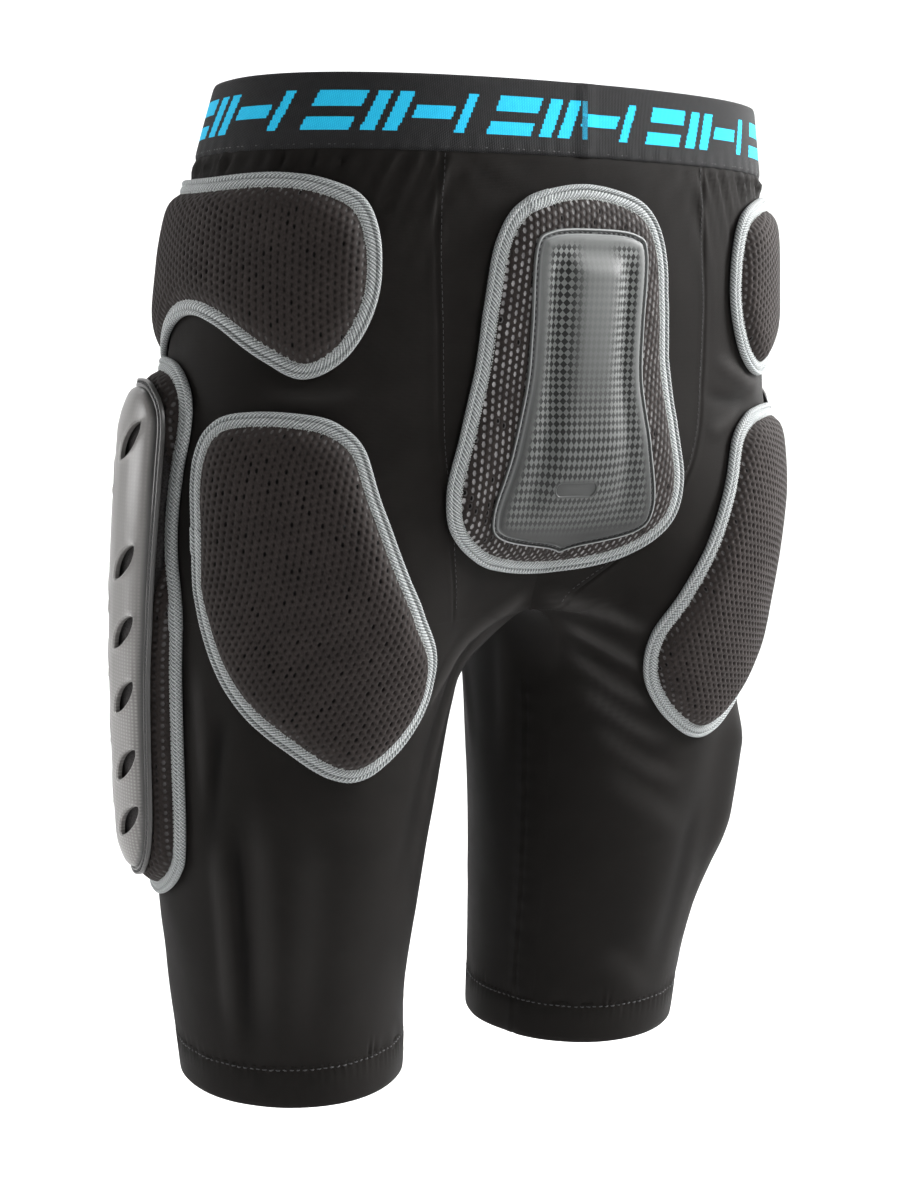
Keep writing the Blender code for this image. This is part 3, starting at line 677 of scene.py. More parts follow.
def check(f, half_width, half_height):
    """1 on every second diamond of a check."""
    x, y = (f.axis(number, (1 / half_width, 1 / half_height, 1)) for number in (0, 1))
    rising = f.maths("FLOOR", f.maths("MULTIPLY", f.maths("ADD", x, y), 0.5))
    falling = f.maths("FLOOR", f.maths("MULTIPLY", f.maths("SUBTRACT", x, y), 0.5))
    return f.maths("FLOORED_MODULO", f.maths("ADD", rising, falling), 2.0)


def shell_finish():
    """Satin grey moulded plastic with a darker flange; fine cells come in towards the knee."""
    f = Finish("shell_plastic", Specular_IOR_Level=0.5)
    rows = f.wave(f.flat(), "X", 0.155)
    columns = f.wave(f.flat(), "Y", 0.155)
    cells = f.maths("MULTIPLY", rows, columns)
    lower = f.node("MapRange", [f.axis(1), -255.0, -330.0, 0.15, 1.0])
    texture = f.maths("MULTIPLY", cells, lower)
    grain = f.noise(f.flat(), 3.0, 3.0)
    dome = f.ramp(texture, (0.0, (0.125, 0.120, 0.115)), (1.0, (0.235, 0.227, 0.219)))
    f.colour(f.mix(f.value("flange"), dome, (0.028, 0.027, 0.026)))
    f.roughness(f.maths("MULTIPLY_ADD", grain, 0.12, 0.30))
    f.bump(f.maths("MULTIPLY_ADD", grain, 0.15, texture), 0.5, 0.00012)
    return f.material


JERSEY = jersey_finish()
ELASTIC = elastic_finish()
MESH = mesh_finish()
TAPE = tape_finish()
FOAM = foam_finish()
PLATE = plate_finish()
SHELL = shell_finish()
PALE_THREAD = thread_finish("pale_thread", (0.42, 0.44, 0.43))
DARK_THREAD = thread_finish("dark_thread", (0.030, 0.030, 0.032))

# ---- pads by name, and where the fabric passes from the pelvis to the leg -----------------------
PAD_WRAPS = {"tailbone": Wrap(BACK_CENTRE), "hip": Wrap(HIP_LINE), "thigh": Wrap(THIGH_LINE),
             "glute": Wrap(GLUTE_LINE)}
PAD_POINTS = {"tailbone": whole(TAILBONE_HALF), "hip": whole(HIP_HALF), "thigh": whole(THIGH_HALF),
              "glute": GLUTE_OUTLINE}
PAD_CROWNS = {"tailbone": TAILBONE_CROWN, "hip": SOFT_CROWN, "thigh": THIGH_CROWN - 1.0,
              "glute": SOFT_CROWN}
HANDS = ((1, "left"), (-1, "right"))
BEND_START = (0.005, 0.0, -0.289)    # left side; the fabric is still on the pelvis here
BEND_END = (0.0626, 0.0, -0.3583)    # and wholly on the leg here


def bends(made, hand, side_name):
    """Bakes a piece's place into its mesh; it does not make the piece follow the pelvis or the leg."""
    start = (hand * BEND_START[0], *BEND_START[1:])
    end = (hand * BEND_END[0], *BEND_END[1:])
    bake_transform(made)


# ---- jersey -------------------------------------------------------------------------------------
# Folds: 1 for the left half, -1 for the right or 0 for both, the surface they are on, three
# places on it (share as in side() and inner(), height in mm), and width and height in mm.
BACK_FOLDS = [
    (1, side, ((0.985, -268), (0.93, -300), (0.86, -352)), 4, 3.2),
    (1, side, ((0.985, -280), (0.95, -330), (0.90, -415)), 5, 2.6),
    (1, side, ((0.97, -290), (0.925, -345), (0.88, -450)), 6, -2.2),
    (1, side, ((0.60, -392), (0.635, -470), (0.62, -548)), 5, 2.2),
    (1, side, ((0.66, -372), (0.695, -460), (0.68, -552)), 6, 1.9),
    (1, side, ((0.63, -380), (0.66, -465), (0.65, -550)), 4, -2.0),
    (1, side, ((0.575, -300), (0.585, -350), (0.60, -410)), 4, 2.2),
    (1, side, ((0.62, -325), (0.60, -365), (0.595, -430)), 5, -2.0),
    (1, side, ((0.73, -385), (0.75, -470), (0.73, -545)), 8, 1.2),
    (1, side, ((0.80, -158), (0.74, -166), (0.66, -158)), 4, 1.2),
    (1, inner, ((0.10, -296), (0.20, -330), (0.28, -390)), 4, 2.0),
    (1, inner, ((0.22, -300), (0.36, -340), (0.42, -410)), 5, 1.6),
    (-1, side, ((0.985, -270), (0.94, -290), (0.86, -302)), 4.0, 3.6),
    (-1, side, ((0.985, -288), (0.935, -311), (0.855, -325)), 4.0, 4.0),
    (-1, side, ((0.985, -306), (0.93, -333), (0.85, -347)), 4.2, 3.8),
    (-1, side, ((0.97, -328), (0.91, -356), (0.82, -371)), 4.4, 3.2),
    (-1, side, ((0.95, -352), (0.88, -384), (0.79, -398)), 5.0, 2.4),
    (-1, side, ((0.93, -378), (0.86, -412), (0.77, -428)), 7.0, 1.6),
    (-1, side, ((0.90, -500), (0.84, -525), (0.77, -538)), 7, 1.1),
    (-1, side, ((0.84, -140), (0.76, -160), (0.68, -157)), 4, 2.0),
    (-1, side, ((0.86, -160), (0.79, -172), (0.72, -163)), 4, -1.5),
    (-1, side, ((0.85, -185), (0.81, -180), (0.76, -168)), 4, 1.7),
    (-1, side, ((0.655, -345), (0.655, -420), (0.66, -490)), 19, 10.0),
    (-1, side, ((0.66, -400), (0.70, -470), (0.69, -548)), 7, 1.5),
    (-1, side, ((0.75, -400), (0.78, -470), (0.76, -545)), 8, -1.1),
    (-1, inner, ((0.30, -296), (0.34, -335), (0.36, -400)), 6, 1.6),
]
FRONT_FOLDS = [
    (0, side, ((0.015, -276), (0.08, -300), (0.17, -325)), 5, 2.2),
    (0, side, ((0.015, -268), (0.10, -270), (0.22, -262)), 5, 2.0),
    (0, side, ((0.02, -258), (0.11, -238), (0.24, -212)), 6, 1.7),
    (0, side, ((0.02, -288), (0.07, -340), (0.10, -420)), 6, 1.8),
    (0, side, ((0.28, -395), (0.30, -470), (0.27, -548)), 7, 1.8),
    (0, side, ((0.36, -405), (0.385, -480), (0.37, -550)), 5, 1.6),
    (0, inner, ((0.90, -296), (0.76, -335), (0.68, -400)), 6, 1.8),
]
WIDEST_CREASE = 8.5 * MM     # wider folds are bulges, which get no painted highlight or shade
FULL_CREST = 3.2 * MM        # a fold this high gets the full painted highlight, and a valley this deep the full painted shade
GATHER_DEPTH = 1.9 * MM
GATHER_REACH = 24 * MM
GATHER_PITCH = 0.0095
COARSE_GATHER_PITCH = 0.0158
SEAM_WIDTH = 0.9 * MM
SEAM_STITCH_OFFSET = 2.0 * MM
HALF_RUN = 0.42              # metres round one half, to turn a distance into a share
INSEAM = 0.17                # share of the inner thigh from its back edge
INSEAM_TOP = -0.325
LEG_CENTRE = (0.1, -0.069)   # of the hem
FABRIC_WALL = 0.9 * MM
HEM_SIZE = (0.43, 0.028)


def fold_lines(hand):
    """Points, width and height of each fold of one half, in metres, placed on the left half."""
    for which, kind, places, width, height in BACK_FOLDS + FRONT_FOLDS:
        if which in (0, hand):
            u = np.linspace(0, 1, 9)
            a, b, c = places
            route = np.outer((1 - u)**2, a) + np.outer(2 * u * (1 - u), b) + np.outer(u**2, c)
            yield kind(route[:, 0], route[:, 1] * MM), width * MM, height * MM


def fold_height(points, line, width, height):
    """A soft ridge along a line of points; a negative height is a valley."""
    nearest = np.full(len(points), 1e9)
    along = np.zeros(len(points))
    for k, (a, b) in enumerate(zip(line[:-1], line[1:])):
        edge = b - a
        u = np.clip((points - a) @ edge / (edge @ edge), 0, 1)
        away = np.linalg.norm(points - a - u[:, None] * edge, axis=1)
        closer = away < nearest
        nearest = np.where(closer, away, nearest)
        along = np.where(closer, (k + u) / (len(line) - 1), along)
    taper = smooth(0, 0.25, along) * smooth(1, 0.55, along)
    return height * taper * np.exp(-(nearest / width)**2)


def fold_total(points, hand, widest=1.0):
    """Height of all folds up to the widest width at places of the left half, in metres."""
    total = np.zeros(len(points))
    for line, width, height in fold_lines(hand):
        if width <= widest:
            total = total + fold_height(points, line, width, height)
    return total


ROUGH_OUTLINES = {name: closed_outline(points, 6) for name, points in PAD_POINTS.items()}


def free_fabric(t, z):
    """1 on free fabric, 0 under a pad and where it is sewn on."""
    free = np.ones(len(t))
    for name, outline in ROUGH_OUTLINES.items():
        depth = depth_inside(outline, PAD_WRAPS[name].flat(t, z))
        free = np.minimum(free, smooth(1.0, -7.0, depth))
    return free


def gathers(t, z, real):
    """Small upright gathers below the waistband, deepest at the wearer's sides, in metres."""
    run = run_at(t, z)
    at_sides = 0.30 + 0.70 * smooth(0.30, 0.55, t) * smooth(0.95, 0.75, t)
    at_sides = at_sides * smooth(0, 0.08, t) * smooth(1, 0.93, t)
    ripple = np.sin(2 * pi * (run / GATHER_PITCH + 0.8 * waves(real * [1, 1, 0], 0.03, 3)))
    ripple = ripple + 0.6 * np.sin(2 * pi * (run / COARSE_GATHER_PITCH + 0.25))
    below = np.clip(WAISTBAND_BOTTOM - z, 0, None)
    return GATHER_DEPTH * at_sides * ripple * np.exp(-below / GATHER_REACH)


def hem_puckers(points, z):
    """Puckers pulled in by the hem's top edge, in metres."""
    near_hem = np.exp(-((z - HEM_TOP) / 0.007)**2)
    turn = np.arctan2(points[:, 1] - LEG_CENTRE[1], points[:, 0] - LEG_CENTRE[0])
    return near_hem * (0.60 * MM * np.sin(2 * pi * turn * 15) - 0.60 * MM)


def inseam_relief(u, z, points):
    """Puckers along the inner seam, the hollow in front of it and the sewn line, in metres."""
    at_seam = np.exp(-((u - INSEAM) / 0.07)**2) * smooth(INSEAM_TOP, INSEAM_TOP - 0.020, z)
    puckers = at_seam * 0.40 * MM * np.sin(2 * pi * z / 0.0115 + 3 * waves(points, 0.03, 4))
    beyond = smooth(INSEAM - 0.01, INSEAM + 0.10, u) * smooth(INSEAM + 0.45, INSEAM + 0.10, u)
    hollow = 1.5 * MM * beyond * smooth(INSEAM_TOP + 0.005, INSEAM_TOP - 0.020, z)
    sewn = np.exp(-((u - INSEAM) / 0.018)**2) * smooth(INSEAM_TOP, INSEAM_TOP - 0.010, z)
    return puckers - hollow - 0.9 * MM * sewn


def drape(kind, a, z, hand):
    """How far the fabric stands out from the skin, in metres, at places of the left half."""
    points = kind(a, z)
    real = points * [hand, 1, 1]
    lift = 0.7 * MM * waves(real, 0.055, 1) + 0.25 * MM * waves(real, 0.021, 2)
    lift = lift + fold_total(points, hand)
    if kind is side:
        below = np.clip(WAISTBAND_BOTTOM - z, 0, None)
        lift = (lift + gathers(a, z, real)) * free_fabric(a, z) * smooth(-0.5 * MM, 5 * MM, below)
        lift = lift - 0.9 * MM * smooth(4 * MM, 0, WAISTBAND_BOTTOM - z + 4 * MM)
        lift = lift - seam_groove(a, z, hand)
    lift = lift + hem_puckers(points, z)
    return lift + inseam_relief(a, z, points) if kind is inner else lift


def seam_groove(t, z, hand):
    """The sewn lines between the centre panels and the leg panels."""
    depth = np.zeros(len(t))
    for seam in (BACK_SEAM[hand], FRONT_SEAM):
        away = run_at(t, z) - run_at(through(seam, 1, z), z)
        line = 0.55 * MM * np.exp(-(away / SEAM_WIDTH)**2)
        welt = 0.22 * MM * np.exp(-((np.abs(away) - 2.6 * MM) / (1.3 * MM))**2)
        depth = depth + (line - welt) * smooth(CROTCH_Z - 0.004, CROTCH_Z + 0.004, z)
    return depth


def outward(kind, a, z, step=0.0002):
    """Outward normals of the left half's skin."""
    across = kind(a + step, z) - kind(a - step, z)
    up = kind(a, z + step) - kind(a, z - step)
    normal = np.cross(across, up)
    normal[np.abs(kind(a, z)[:, 0]) < 1e-7, 0] = 0
    return normal / np.maximum(np.linalg.norm(normal, axis=1, keepdims=True), 1e-12)


def draped(kind, a, z, hand, above=0.0):
    """Points of the draped fabric on the left half, above metres over its outer face."""
    a, z = np.broadcast_arrays(np.asarray(a, float), np.asarray(z, float))
    shape = a.shape
    a, z = a.ravel(), z.ravel()
    points = kind(a, z) + outward(kind, a, z) * (drape(kind, a, z, hand) + above)[:, None]
    return points.reshape(*shape, 3)


SEAM_COLUMNS = np.array([-0.0135, -0.009, -0.006, -0.0035, -0.0018, 0, 0.0018, 0.0035, 0.006, 0.009,
                         0.0135])


def side_shares(z, hand):
    """Shares of one row of the jersey, crowded at both seams."""
    front, back = float(through(FRONT_SEAM, 1, z)), float(through(BACK_SEAM[hand], 1, z))
    spread = smooth(CROTCH_Z, CROTCH_Z - 0.06, z)
    front, back = front + (0.13 - front) * spread, back + (0.87 - back) * spread
    near_front = front + SEAM_COLUMNS * min(1, front / 0.03)
    near_back = back + SEAM_COLUMNS * min(1, (1 - back) / 0.03)
    return np.concatenate([np.linspace(0, near_front[0], 12)[:-1], near_front,
                           np.linspace(near_front[-1], near_back[0], 96)[1:-1], near_back,
                           np.linspace(near_back[-1], 1, 12)[1:]])


INSEAM_COLUMNS = np.array([-0.03, -0.015, -0.005, 0.005, 0.015, 0.03])


def jersey_heights():
    """Heights of the jersey's rows, close together in the crotch's arch, and the crotch's row."""
    top = WAISTBAND_BOTTOM + 0.008
    above = np.linspace(top, CROTCH_Z, int((top - CROTCH_Z) / 0.0029))
    rounding = CROTCH_Z - ARCH_HEIGHT * (1 - np.cos(np.linspace(0.10, pi / 2, 17)))
    below = np.linspace(rounding[-1], HEM_TOP - 0.004, 72)[1:]
    return np.concatenate([above, rounding, below]), len(above) - 1


def jersey(hand, side_name):
    """One half of the stretch fabric, with its panels, seams, gathers and folds."""
    heights, crotch_row = jersey_heights()
    shares = np.array([side_shares(z, hand) for z in heights])
    columns = shares.shape[1]
    side_z = np.repeat(heights[:, None], columns, axis=1)
    outside = draped(side, shares, side_z, hand)

    around = np.sort(np.concatenate([np.linspace(0, 1, 46), INSEAM + INSEAM_COLUMNS]))
    inner_columns = len(around)
    inner_z = np.repeat(heights[crotch_row:, None], inner_columns - 2, axis=1)
    inner_u = np.repeat(around[None, 1:-1], len(inner_z), axis=0)
    inside = draped(inner, inner_u, inner_z, hand)

    vertices = np.concatenate([outside.reshape(-1, 3), inside.reshape(-1, 3)])
    faces = [face[::-1] for face in grid_faces(len(heights), columns)]
    numbers = np.zeros((len(inner_z), inner_columns), int)
    numbers[:, 1:-1] = outside[..., 0].size + np.arange(inner_z.size).reshape(inner_z.shape)
    numbers[:, 0] = np.arange(crotch_row, len(heights)) * columns + columns - 1
    numbers[:, -1] = np.arange(crotch_row, len(heights)) * columns
    faces += [[int(numbers.flat[i]) for i in face[::-1]]
              for face in grid_faces(len(inner_z), inner_columns)]

    flat = np.stack([run_at(shares, side_z), side_z], -1).reshape(-1, 2) / MM
    inner_run = run_at(1.0, -0.33) + inner_u * 0.11
    flat = np.concatenate([flat, np.stack([inner_run, inner_z], -1).reshape(-1, 2) / MM])
    # Fold heights for the painted highlight on crests and the painted shade in valleys.
    creases = fold_total(side(shares, side_z).reshape(-1, 3), hand, WIDEST_CREASE)
    creases = creases * free_fabric(shares.ravel(), side_z.ravel())
    inner_creases = fold_total(inner(inner_u, inner_z).reshape(-1, 3), hand, WIDEST_CREASE)
    painted_fold_shade = np.concatenate([creases, inner_creases]) / FULL_CREST
    made = piece(side_name + "_jersey", vertices, faces, JERSEY, hand, flat, {"painted_fold_shade": painted_fold_shade})
    wall = made.modifiers.new("fabric", "SOLIDIFY")
    wall.thickness = FABRIC_WALL
    wall.offset = -1
    apply_modifiers(made)
    made.data.set_sharp_from_angle(angle=radians(60))
    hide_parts(side_name + "_leg_panel", "back_centre_panel", "front_centre_panel",
                "crotch_gusset")
    bends(made, hand, side_name)


# The hem's height above its edge and distance out from the fabric's face, in millimetres.
HEM_PROFILE = [(26.5, -1.0), (26.2, -0.1), (25.3, 0.15), (24.0, -0.05), (22.8, 0.2), (19.0, 0.3),
               (14.0, 0.3), (9.0, 0.3), (4.0, 0.3), (1.2, 0.15), (0.2, -0.5), (0.0, -1.1),
               (0.4, -1.9), (2.0, -2.4), (12.0, -2.4), (24.0, -2.4), (25.6, -2.0)]
HEM_STITCH_HEIGHT = 24.0


def hem_ring(hand, height, out=0.0):
    """One ring of the hem, at a height above its edge and out from the fabric, in millimetres."""
    z = HEM_Z + height * MM
    outer_t = np.linspace(0, 1, 184, endpoint=False)
    inner_u = np.linspace(0, 1, 46, endpoint=False)
    return np.concatenate([draped(side, outer_t, z, hand, out * MM),
                           draped(inner, inner_u, z, hand, out * MM)])


def hem(hand, side_name):
    """The folded hem: a doubled band, cover-stitched along its top."""
    stack = np.array([hem_ring(hand, height, out) for height, out in HEM_PROFILE])
    size = stack.shape[1]
    around = np.linspace(0, HEM_SIZE[0], size) / MM
    flat = np.array([np.stack([around, np.full(size, HEM_Z / MM + height)], -1)
                     for height, _ in HEM_PROFILE])
    made = piece(side_name + "_hem_band", stack.reshape(-1, 3),
                 [face[::-1] for face in rings(stack, closed_ends=True)], JERSEY, hand,
                 flat.reshape(-1, 2))
    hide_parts(side_name + "_hem")
    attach(made, side_name + "_leg")

    path = hem_ring(hand, HEM_STITCH_HEIGHT)
    path = np.concatenate([path, path[:1]])
    centre = path.mean(axis=0)
    out = (path - centre) / np.linalg.norm(path - centre, axis=1, keepdims=True)
    points, faces = stitches(path, out, 2.9 * MM, 1.3 * MM, 0.34 * MM, 0.45 * MM)
    sewn = piece(side_name + "_hem_stitches", points, faces, DARK_THREAD, hand)
    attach(sewn, side_name + "_leg")


def seam_stitches(hand, side_name):
    """Flat stitches along the back and front seams of one half."""
    z = np.linspace(WAISTBAND_BOTTOM - 0.001, CROTCH_Z + 0.004, 260)
    parts = []
    for seam in (BACK_SEAM[hand], FRONT_SEAM):
        t = through(seam, 1, z) + SEAM_STITCH_OFFSET / HALF_RUN
        inside = (t > 0.004) & (t < 0.996)
        path = draped(side, t[inside], z[inside], hand)
        out = outward(side, t[inside], z[inside])
        parts.append(stitches(path, out, 2.2 * MM, 1.1 * MM, 0.15 * MM, 0.16 * MM))
    made = piece(side_name + "_seam_stitches", *joined_parts(parts), DARK_THREAD, hand)
    bends(made, hand, side_name)


# ---- waistband ----------------------------------------------------------------------------------
BAND_COUNT = 620
BAND_STITCH_PITCH = 3.0 * MM
BAND_STITCH_RISE = 2.2 * MM


def band_ring(z, out):
    """One ring of the waistband: height and distance out from the skin, in metres."""
    t = np.linspace(0, 1, BAND_COUNT // 2 + 1)
    left = side(t, z) + outward(side, t, z) * out
    right = left[::-1] * [-1, 1, 1]
    return np.concatenate([left[:-1], right[:-1]])


def band_profile():
    """The waistband's section: height and distance out from the skin, in millimetres."""
    bottom = WAISTBAND_BOTTOM / MM
    face = [(z, 0.75 - 0.55 * np.exp(-min(-z, z - bottom))) for z in np.linspace(0, bottom, 25)]
    inside = [(z, -2.1) for z in (-30, -20, -10, -2)]
    return ([(0.0, -0.9)] + face + [(bottom, -0.6), (bottom + 0.4, -2.0)] + inside + [(-0.2, -1.8)])


def waistband():
    """The elastic, scalloped at its lower edge, with a ridge where its ends are joined behind."""
    share = np.arange(BAND_COUNT) / BAND_COUNT
    run = run_at(np.linspace(0, 1, BAND_COUNT // 2 + 1), 0.0) / MM
    around = np.concatenate([run[:-1], -run[::-1][:-1]])
    seam = np.exp(-((np.abs(share - 0.5) * 2 * run[-1]) / 2.4)**4)
    vertices, flats = [], []
    for z, out in band_profile():
        ring = band_ring(z * MM, out * MM)
        normal = ring - ring.mean(axis=0)
        normal[:, 2] = 0
        normal /= np.linalg.norm(normal, axis=1, keepdims=True)
        low = smooth(-26, -38, z)
        scallop = 0.22 * low * np.sin(2 * pi * around / 9.5) + 0.30 * waves(ring, 0.045, 5)
        ridge = 0.9 * seam if out > -1 else 0
        ring = ring + normal * ((scallop + ridge) * MM)[:, None]
        ring[:, 2] += 0.30 * MM * waves(ring, 0.07, 6) * (0.3 + 0.7 * low)
        vertices.append(ring)
        flats.append(np.stack([around, np.full(BAND_COUNT, z)], -1))
    made = piece("waistband_elastic", np.concatenate(vertices),
                 [face[::-1] for face in rings(vertices, closed_ends=True)], ELASTIC,
                 flat=np.concatenate(flats))
    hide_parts("waistband")
    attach(made, "pelvis")


def waistband_stitches():
    """Zigzags beside the join at the back, and the row that sews the elastic to the jersey."""
    parts = []
    z = np.linspace(-1.5, WAISTBAND_BOTTOM / MM + 1.0, 90)
    for offset in (-3.2, 3.2):
        zigzag = offset + 0.55 * np.sign(np.sin(2 * pi * z / 2.1))
        path = PAD_WRAPS["tailbone"](np.stack([zigzag, z], -1), 0.75)
        parts.append(thread(path, 0.20 * MM, sides=5))
    t = np.linspace(0, 1, 321)
    height = WAISTBAND_BOTTOM + BAND_STITCH_RISE
    path, out = side(t, height), outward(side, t, height)
    for hand, _ in HANDS:
        mirrored = [hand, 1, 1]
        parts.append(stitches(path * mirrored, out * mirrored, 0.72 * BAND_STITCH_PITCH,
                              0.28 * BAND_STITCH_PITCH, 0.22 * MM, 0.50 * MM))
    sewn = piece("waistband_stitches", *joined_parts(parts), DARK_THREAD)
    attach(sewn, "pelvis")


# ---- pads ---------------------------------------------------------------------------------------
EDGE_DEPTH = 6.6             # millimetres inside the outline where a pad rises out of its binding
EDGE_LIFT = 3.9              # its height there
EDGE_SLOPE = 0.6
EDGE_FOOT = 1.2
SHOULDER = 4.6               # how quickly it rises to its crown
FOAM_DROP = 1.7              # the foam lies this far under the net
FOAM_FOOT = 0.9
FAR = 1000                   # millimetres, far enough to turn a difference into a normal


def pad_lift(depth, crown):
    """Height of a pad's top face above the skin at a depth inside its outline, in millimetres."""
    foot = EDGE_LIFT - EDGE_SLOPE * np.clip(EDGE_DEPTH - depth, 0, None)
    rise = 1 - np.exp(-np.clip(depth - EDGE_DEPTH, 0, None) / SHOULDER)
    return np.clip(foot, EDGE_FOOT, None) + (crown - EDGE_LIFT) * rise


def scaled_rings(outline, insets, shares):
    """Inset rings of an outline, then rings that shrink to its middle, as flat points."""
    stack = [inset(outline, distance) for distance in insets]
    middle = stack[-1].mean(axis=0)
    stack += [middle + (stack[-1] - middle) * share for share in shares]
    return np.array(stack), middle


SWELL_FRAMES = 20
SWELL_CAP = 3.5 * MM
VOXEL = 4.5 * MM
CLOTH = {"quality": 5, "mass": 0.3, "tension_stiffness": 12, "compression_stiffness": 12,
         "bending_stiffness": 0.4, "vertex_group_mass": "sewn", "use_pressure": True,
         "uniform_pressure_force": 4.0}


def simulate(made):
    """Runs the cloth simulation, leaves its last frame as the mesh and goes back to frame 1."""
    cloth = made.modifiers.new("swell", "CLOTH")
    for key, value in CLOTH.items():
        setattr(cloth.settings, key, value)
    cloth.settings.effector_weights.gravity = 0
    cloth.point_cache.frame_end = SWELL_FRAMES
    for frame_number in range(1, SWELL_FRAMES + 1):
        bpy.context.scene.frame_set(frame_number)
    apply_modifiers(made)
    bpy.context.scene.frame_set(1)


def swollen(made, pinned_points):
    """Remeshes a closed pad body and swells it; it stays in place near the pinned points.

    Gives the remeshed points and how far each moves, no further than the cap.
    """
    remesh = made.modifiers.new("remesh", "REMESH")
    remesh.mode = "VOXEL"
    remesh.voxel_size = VOXEL
    apply_modifiers(made)
    before = np.array([v.co for v in made.data.vertices])
    pins = tree_of(pinned_points)
    group = made.vertex_groups.new(name="sewn")
    group.add([i for i, point in enumerate(before) if pins.find(point)[2] < 0.8 * VOXEL], 1.0, "ADD")
    simulate(made)
    moved = np.array([v.co for v in made.data.vertices]) - before
    length = np.linalg.norm(moved, axis=1, keepdims=True)
    moved *= np.minimum(1, SWELL_CAP / np.maximum(length, 1e-9))
    made.vertex_groups.clear()
    return before, moved


def apply_modifiers(made):
    """Turns an object's evaluated mesh into its own mesh."""
    graph = bpy.context.evaluated_depsgraph_get()
    graph.update()
    mesh = bpy.data.meshes.new_from_object(made.evaluated_get(graph))
    made.modifiers.clear()
    old = made.data
    made.data = mesh
    bpy.data.meshes.remove(old)


def swelling_at(points, normals, before, moved):
    """How far the swelling lifts each point along its normal, in millimetres."""
    tree = tree_of(before)
    lifts = []
    for point, normal in zip(points, normals):
        found = tree.find_n(point, 6)
        weights = np.array([1 / (distance + 0.002) for _, _, distance in found])
        shift = weights @ moved[[i for _, i, _ in found]] / weights.sum()
        lifts.append(shift @ normal)
    return np.clip(np.array(lifts) / MM, -0.5, 3.0)


def held_share(points, wrap, hidden, crown):
    """0 for points under a moulded part, which holds the foam down, and 1 well away from it."""
    low, high = hidden.min(axis=0), hidden.max(axis=0)
    x, z = np.meshgrid(np.arange(low[0], high[0], 4.0), np.arange(low[1], high[1], 4.0))
    flat = np.stack([x.ravel(), z.ravel()], -1)
    flat = flat[depth_inside(hidden, flat) > 0]
    tree = tree_of(wrap(flat, crown - FOAM_DROP))
    away = np.array([tree.find(point)[2] for point in points])
    return smooth(4 * MM, 14 * MM, away)


FOAM_INSETS = [4.4, 7.0, 9.5, 12.5, 16.0, 20.0]
FOAM_SHARES = [0.82, 0.64, 0.46, 0.28, 0.12]
FOAM_MIDDLE_DEPTH = np.array([40.0])


def foam_body(name, wrap, outline, crown, hidden):
    """The pad's foam core, swollen by simulation: the object, its rest points and their moves."""
    outline = outline[::3]
    flat, middle = scaled_rings(outline, FOAM_INSETS, FOAM_SHARES)
    count, size = flat.shape[:2]
    flat = flat.reshape(-1, 2)
    top = wrap(flat, pad_lift(depth_inside(outline, flat), crown) - FOAM_DROP)
    bottom = wrap(flat, FOAM_FOOT)
    centre_lift = pad_lift(FOAM_MIDDLE_DEPTH, crown) - FOAM_DROP
    vertices = np.concatenate([top, bottom, wrap([middle], centre_lift), wrap([middle], FOAM_FOOT)])
    faces = grid_faces(count, size, closed=True)
    low = count * size
    faces += [[low + i for i in face[::-1]] for face in faces]
    end = (count - 1) * size
    for i in range(size):
        j = (i + 1) % size
        faces.append([end + i, end + j, 2 * low])
        faces.append([low + end + j, low + end + i, 2 * low + 1])
        faces.append([j, i, low + i, low + j])
    made = piece(name, vertices, faces, FOAM)
    before, moved = swollen(made, np.concatenate([bottom, top[:size * 2]]))
    if hidden is not None:
        moved = moved * held_share(before, wrap, hidden, crown)[:, None]
    made.data.vertices.foreach_set("co", (before + moved).astype(np.float32).ravel())
    smooth_more = made.modifiers.new("smooth", "SUBSURF")
    smooth_more.levels = smooth_more.render_levels = 1
    apply_modifiers(made)
    made.data.shade_smooth()
    return made, before, moved


NET_ACROSS = 3.3             # millimetres between two columns of holes
NET_UP = 4.2                 # and between two holes of one column
NET_EDGE = 5.0               # the net starts this far inside the outline, under the binding
NET_WAVE = 0.35
HOLE_HALF_WIDTH = 0.78
HOLE_HALF_HEIGHT = 1.50
HOLE_DEPTH = 0.9
HOLE_WALL = 0.72             # share of the hole's size at its bottom
RIM_DROP = 0.28
OPEN_SHARE = 0.09            # share of the holes that are fully open and black


# The six corners of a net cell, as shares of its width and height, and the turn to each.
CELL_CORNERS = np.array([(2 / 3, 0), (1 / 3, 1 / 2), (-1 / 3, 1 / 2), (-2 / 3, 0), (-1 / 3, -1 / 2),
                         (1 / 3, -1 / 2)]) * [NET_ACROSS, NET_UP]
CORNER_TURNS = np.array([0, 1.05, 2.09, 3.14, 4.19, 5.24])
RIM_SHAPE = np.stack([HOLE_HALF_WIDTH * np.cos(CORNER_TURNS),
                      HOLE_HALF_HEIGHT * np.sin(CORNER_TURNS)], -1)


def cell_centres(outline, spin, hidden):
    """Centres of the net's cells before they are turned, and the middle they are placed round."""
    low, high = outline.min(axis=0) - 12, outline.max(axis=0) + 12
    middle = 0.5 * (low + high)
    reach = np.linalg.norm(high - low) / 2
    columns, rows = int(reach / NET_ACROSS) + 1, int(reach / NET_UP) + 1
    cells = np.array([(c, r) for c in range(-columns, columns + 1) for r in range(-rows, rows + 1)])
    centres = np.stack([cells[:, 0] * NET_ACROSS,
                        (cells[:, 1] + 0.5 * (cells[:, 0] % 2)) * NET_UP], -1)
    placed = centres @ spin.T + middle
    keep = depth_inside(outline, placed) > NET_EDGE
    if hidden is not None:
        keep &= depth_inside(hidden, placed) < 5
    return centres[keep], middle


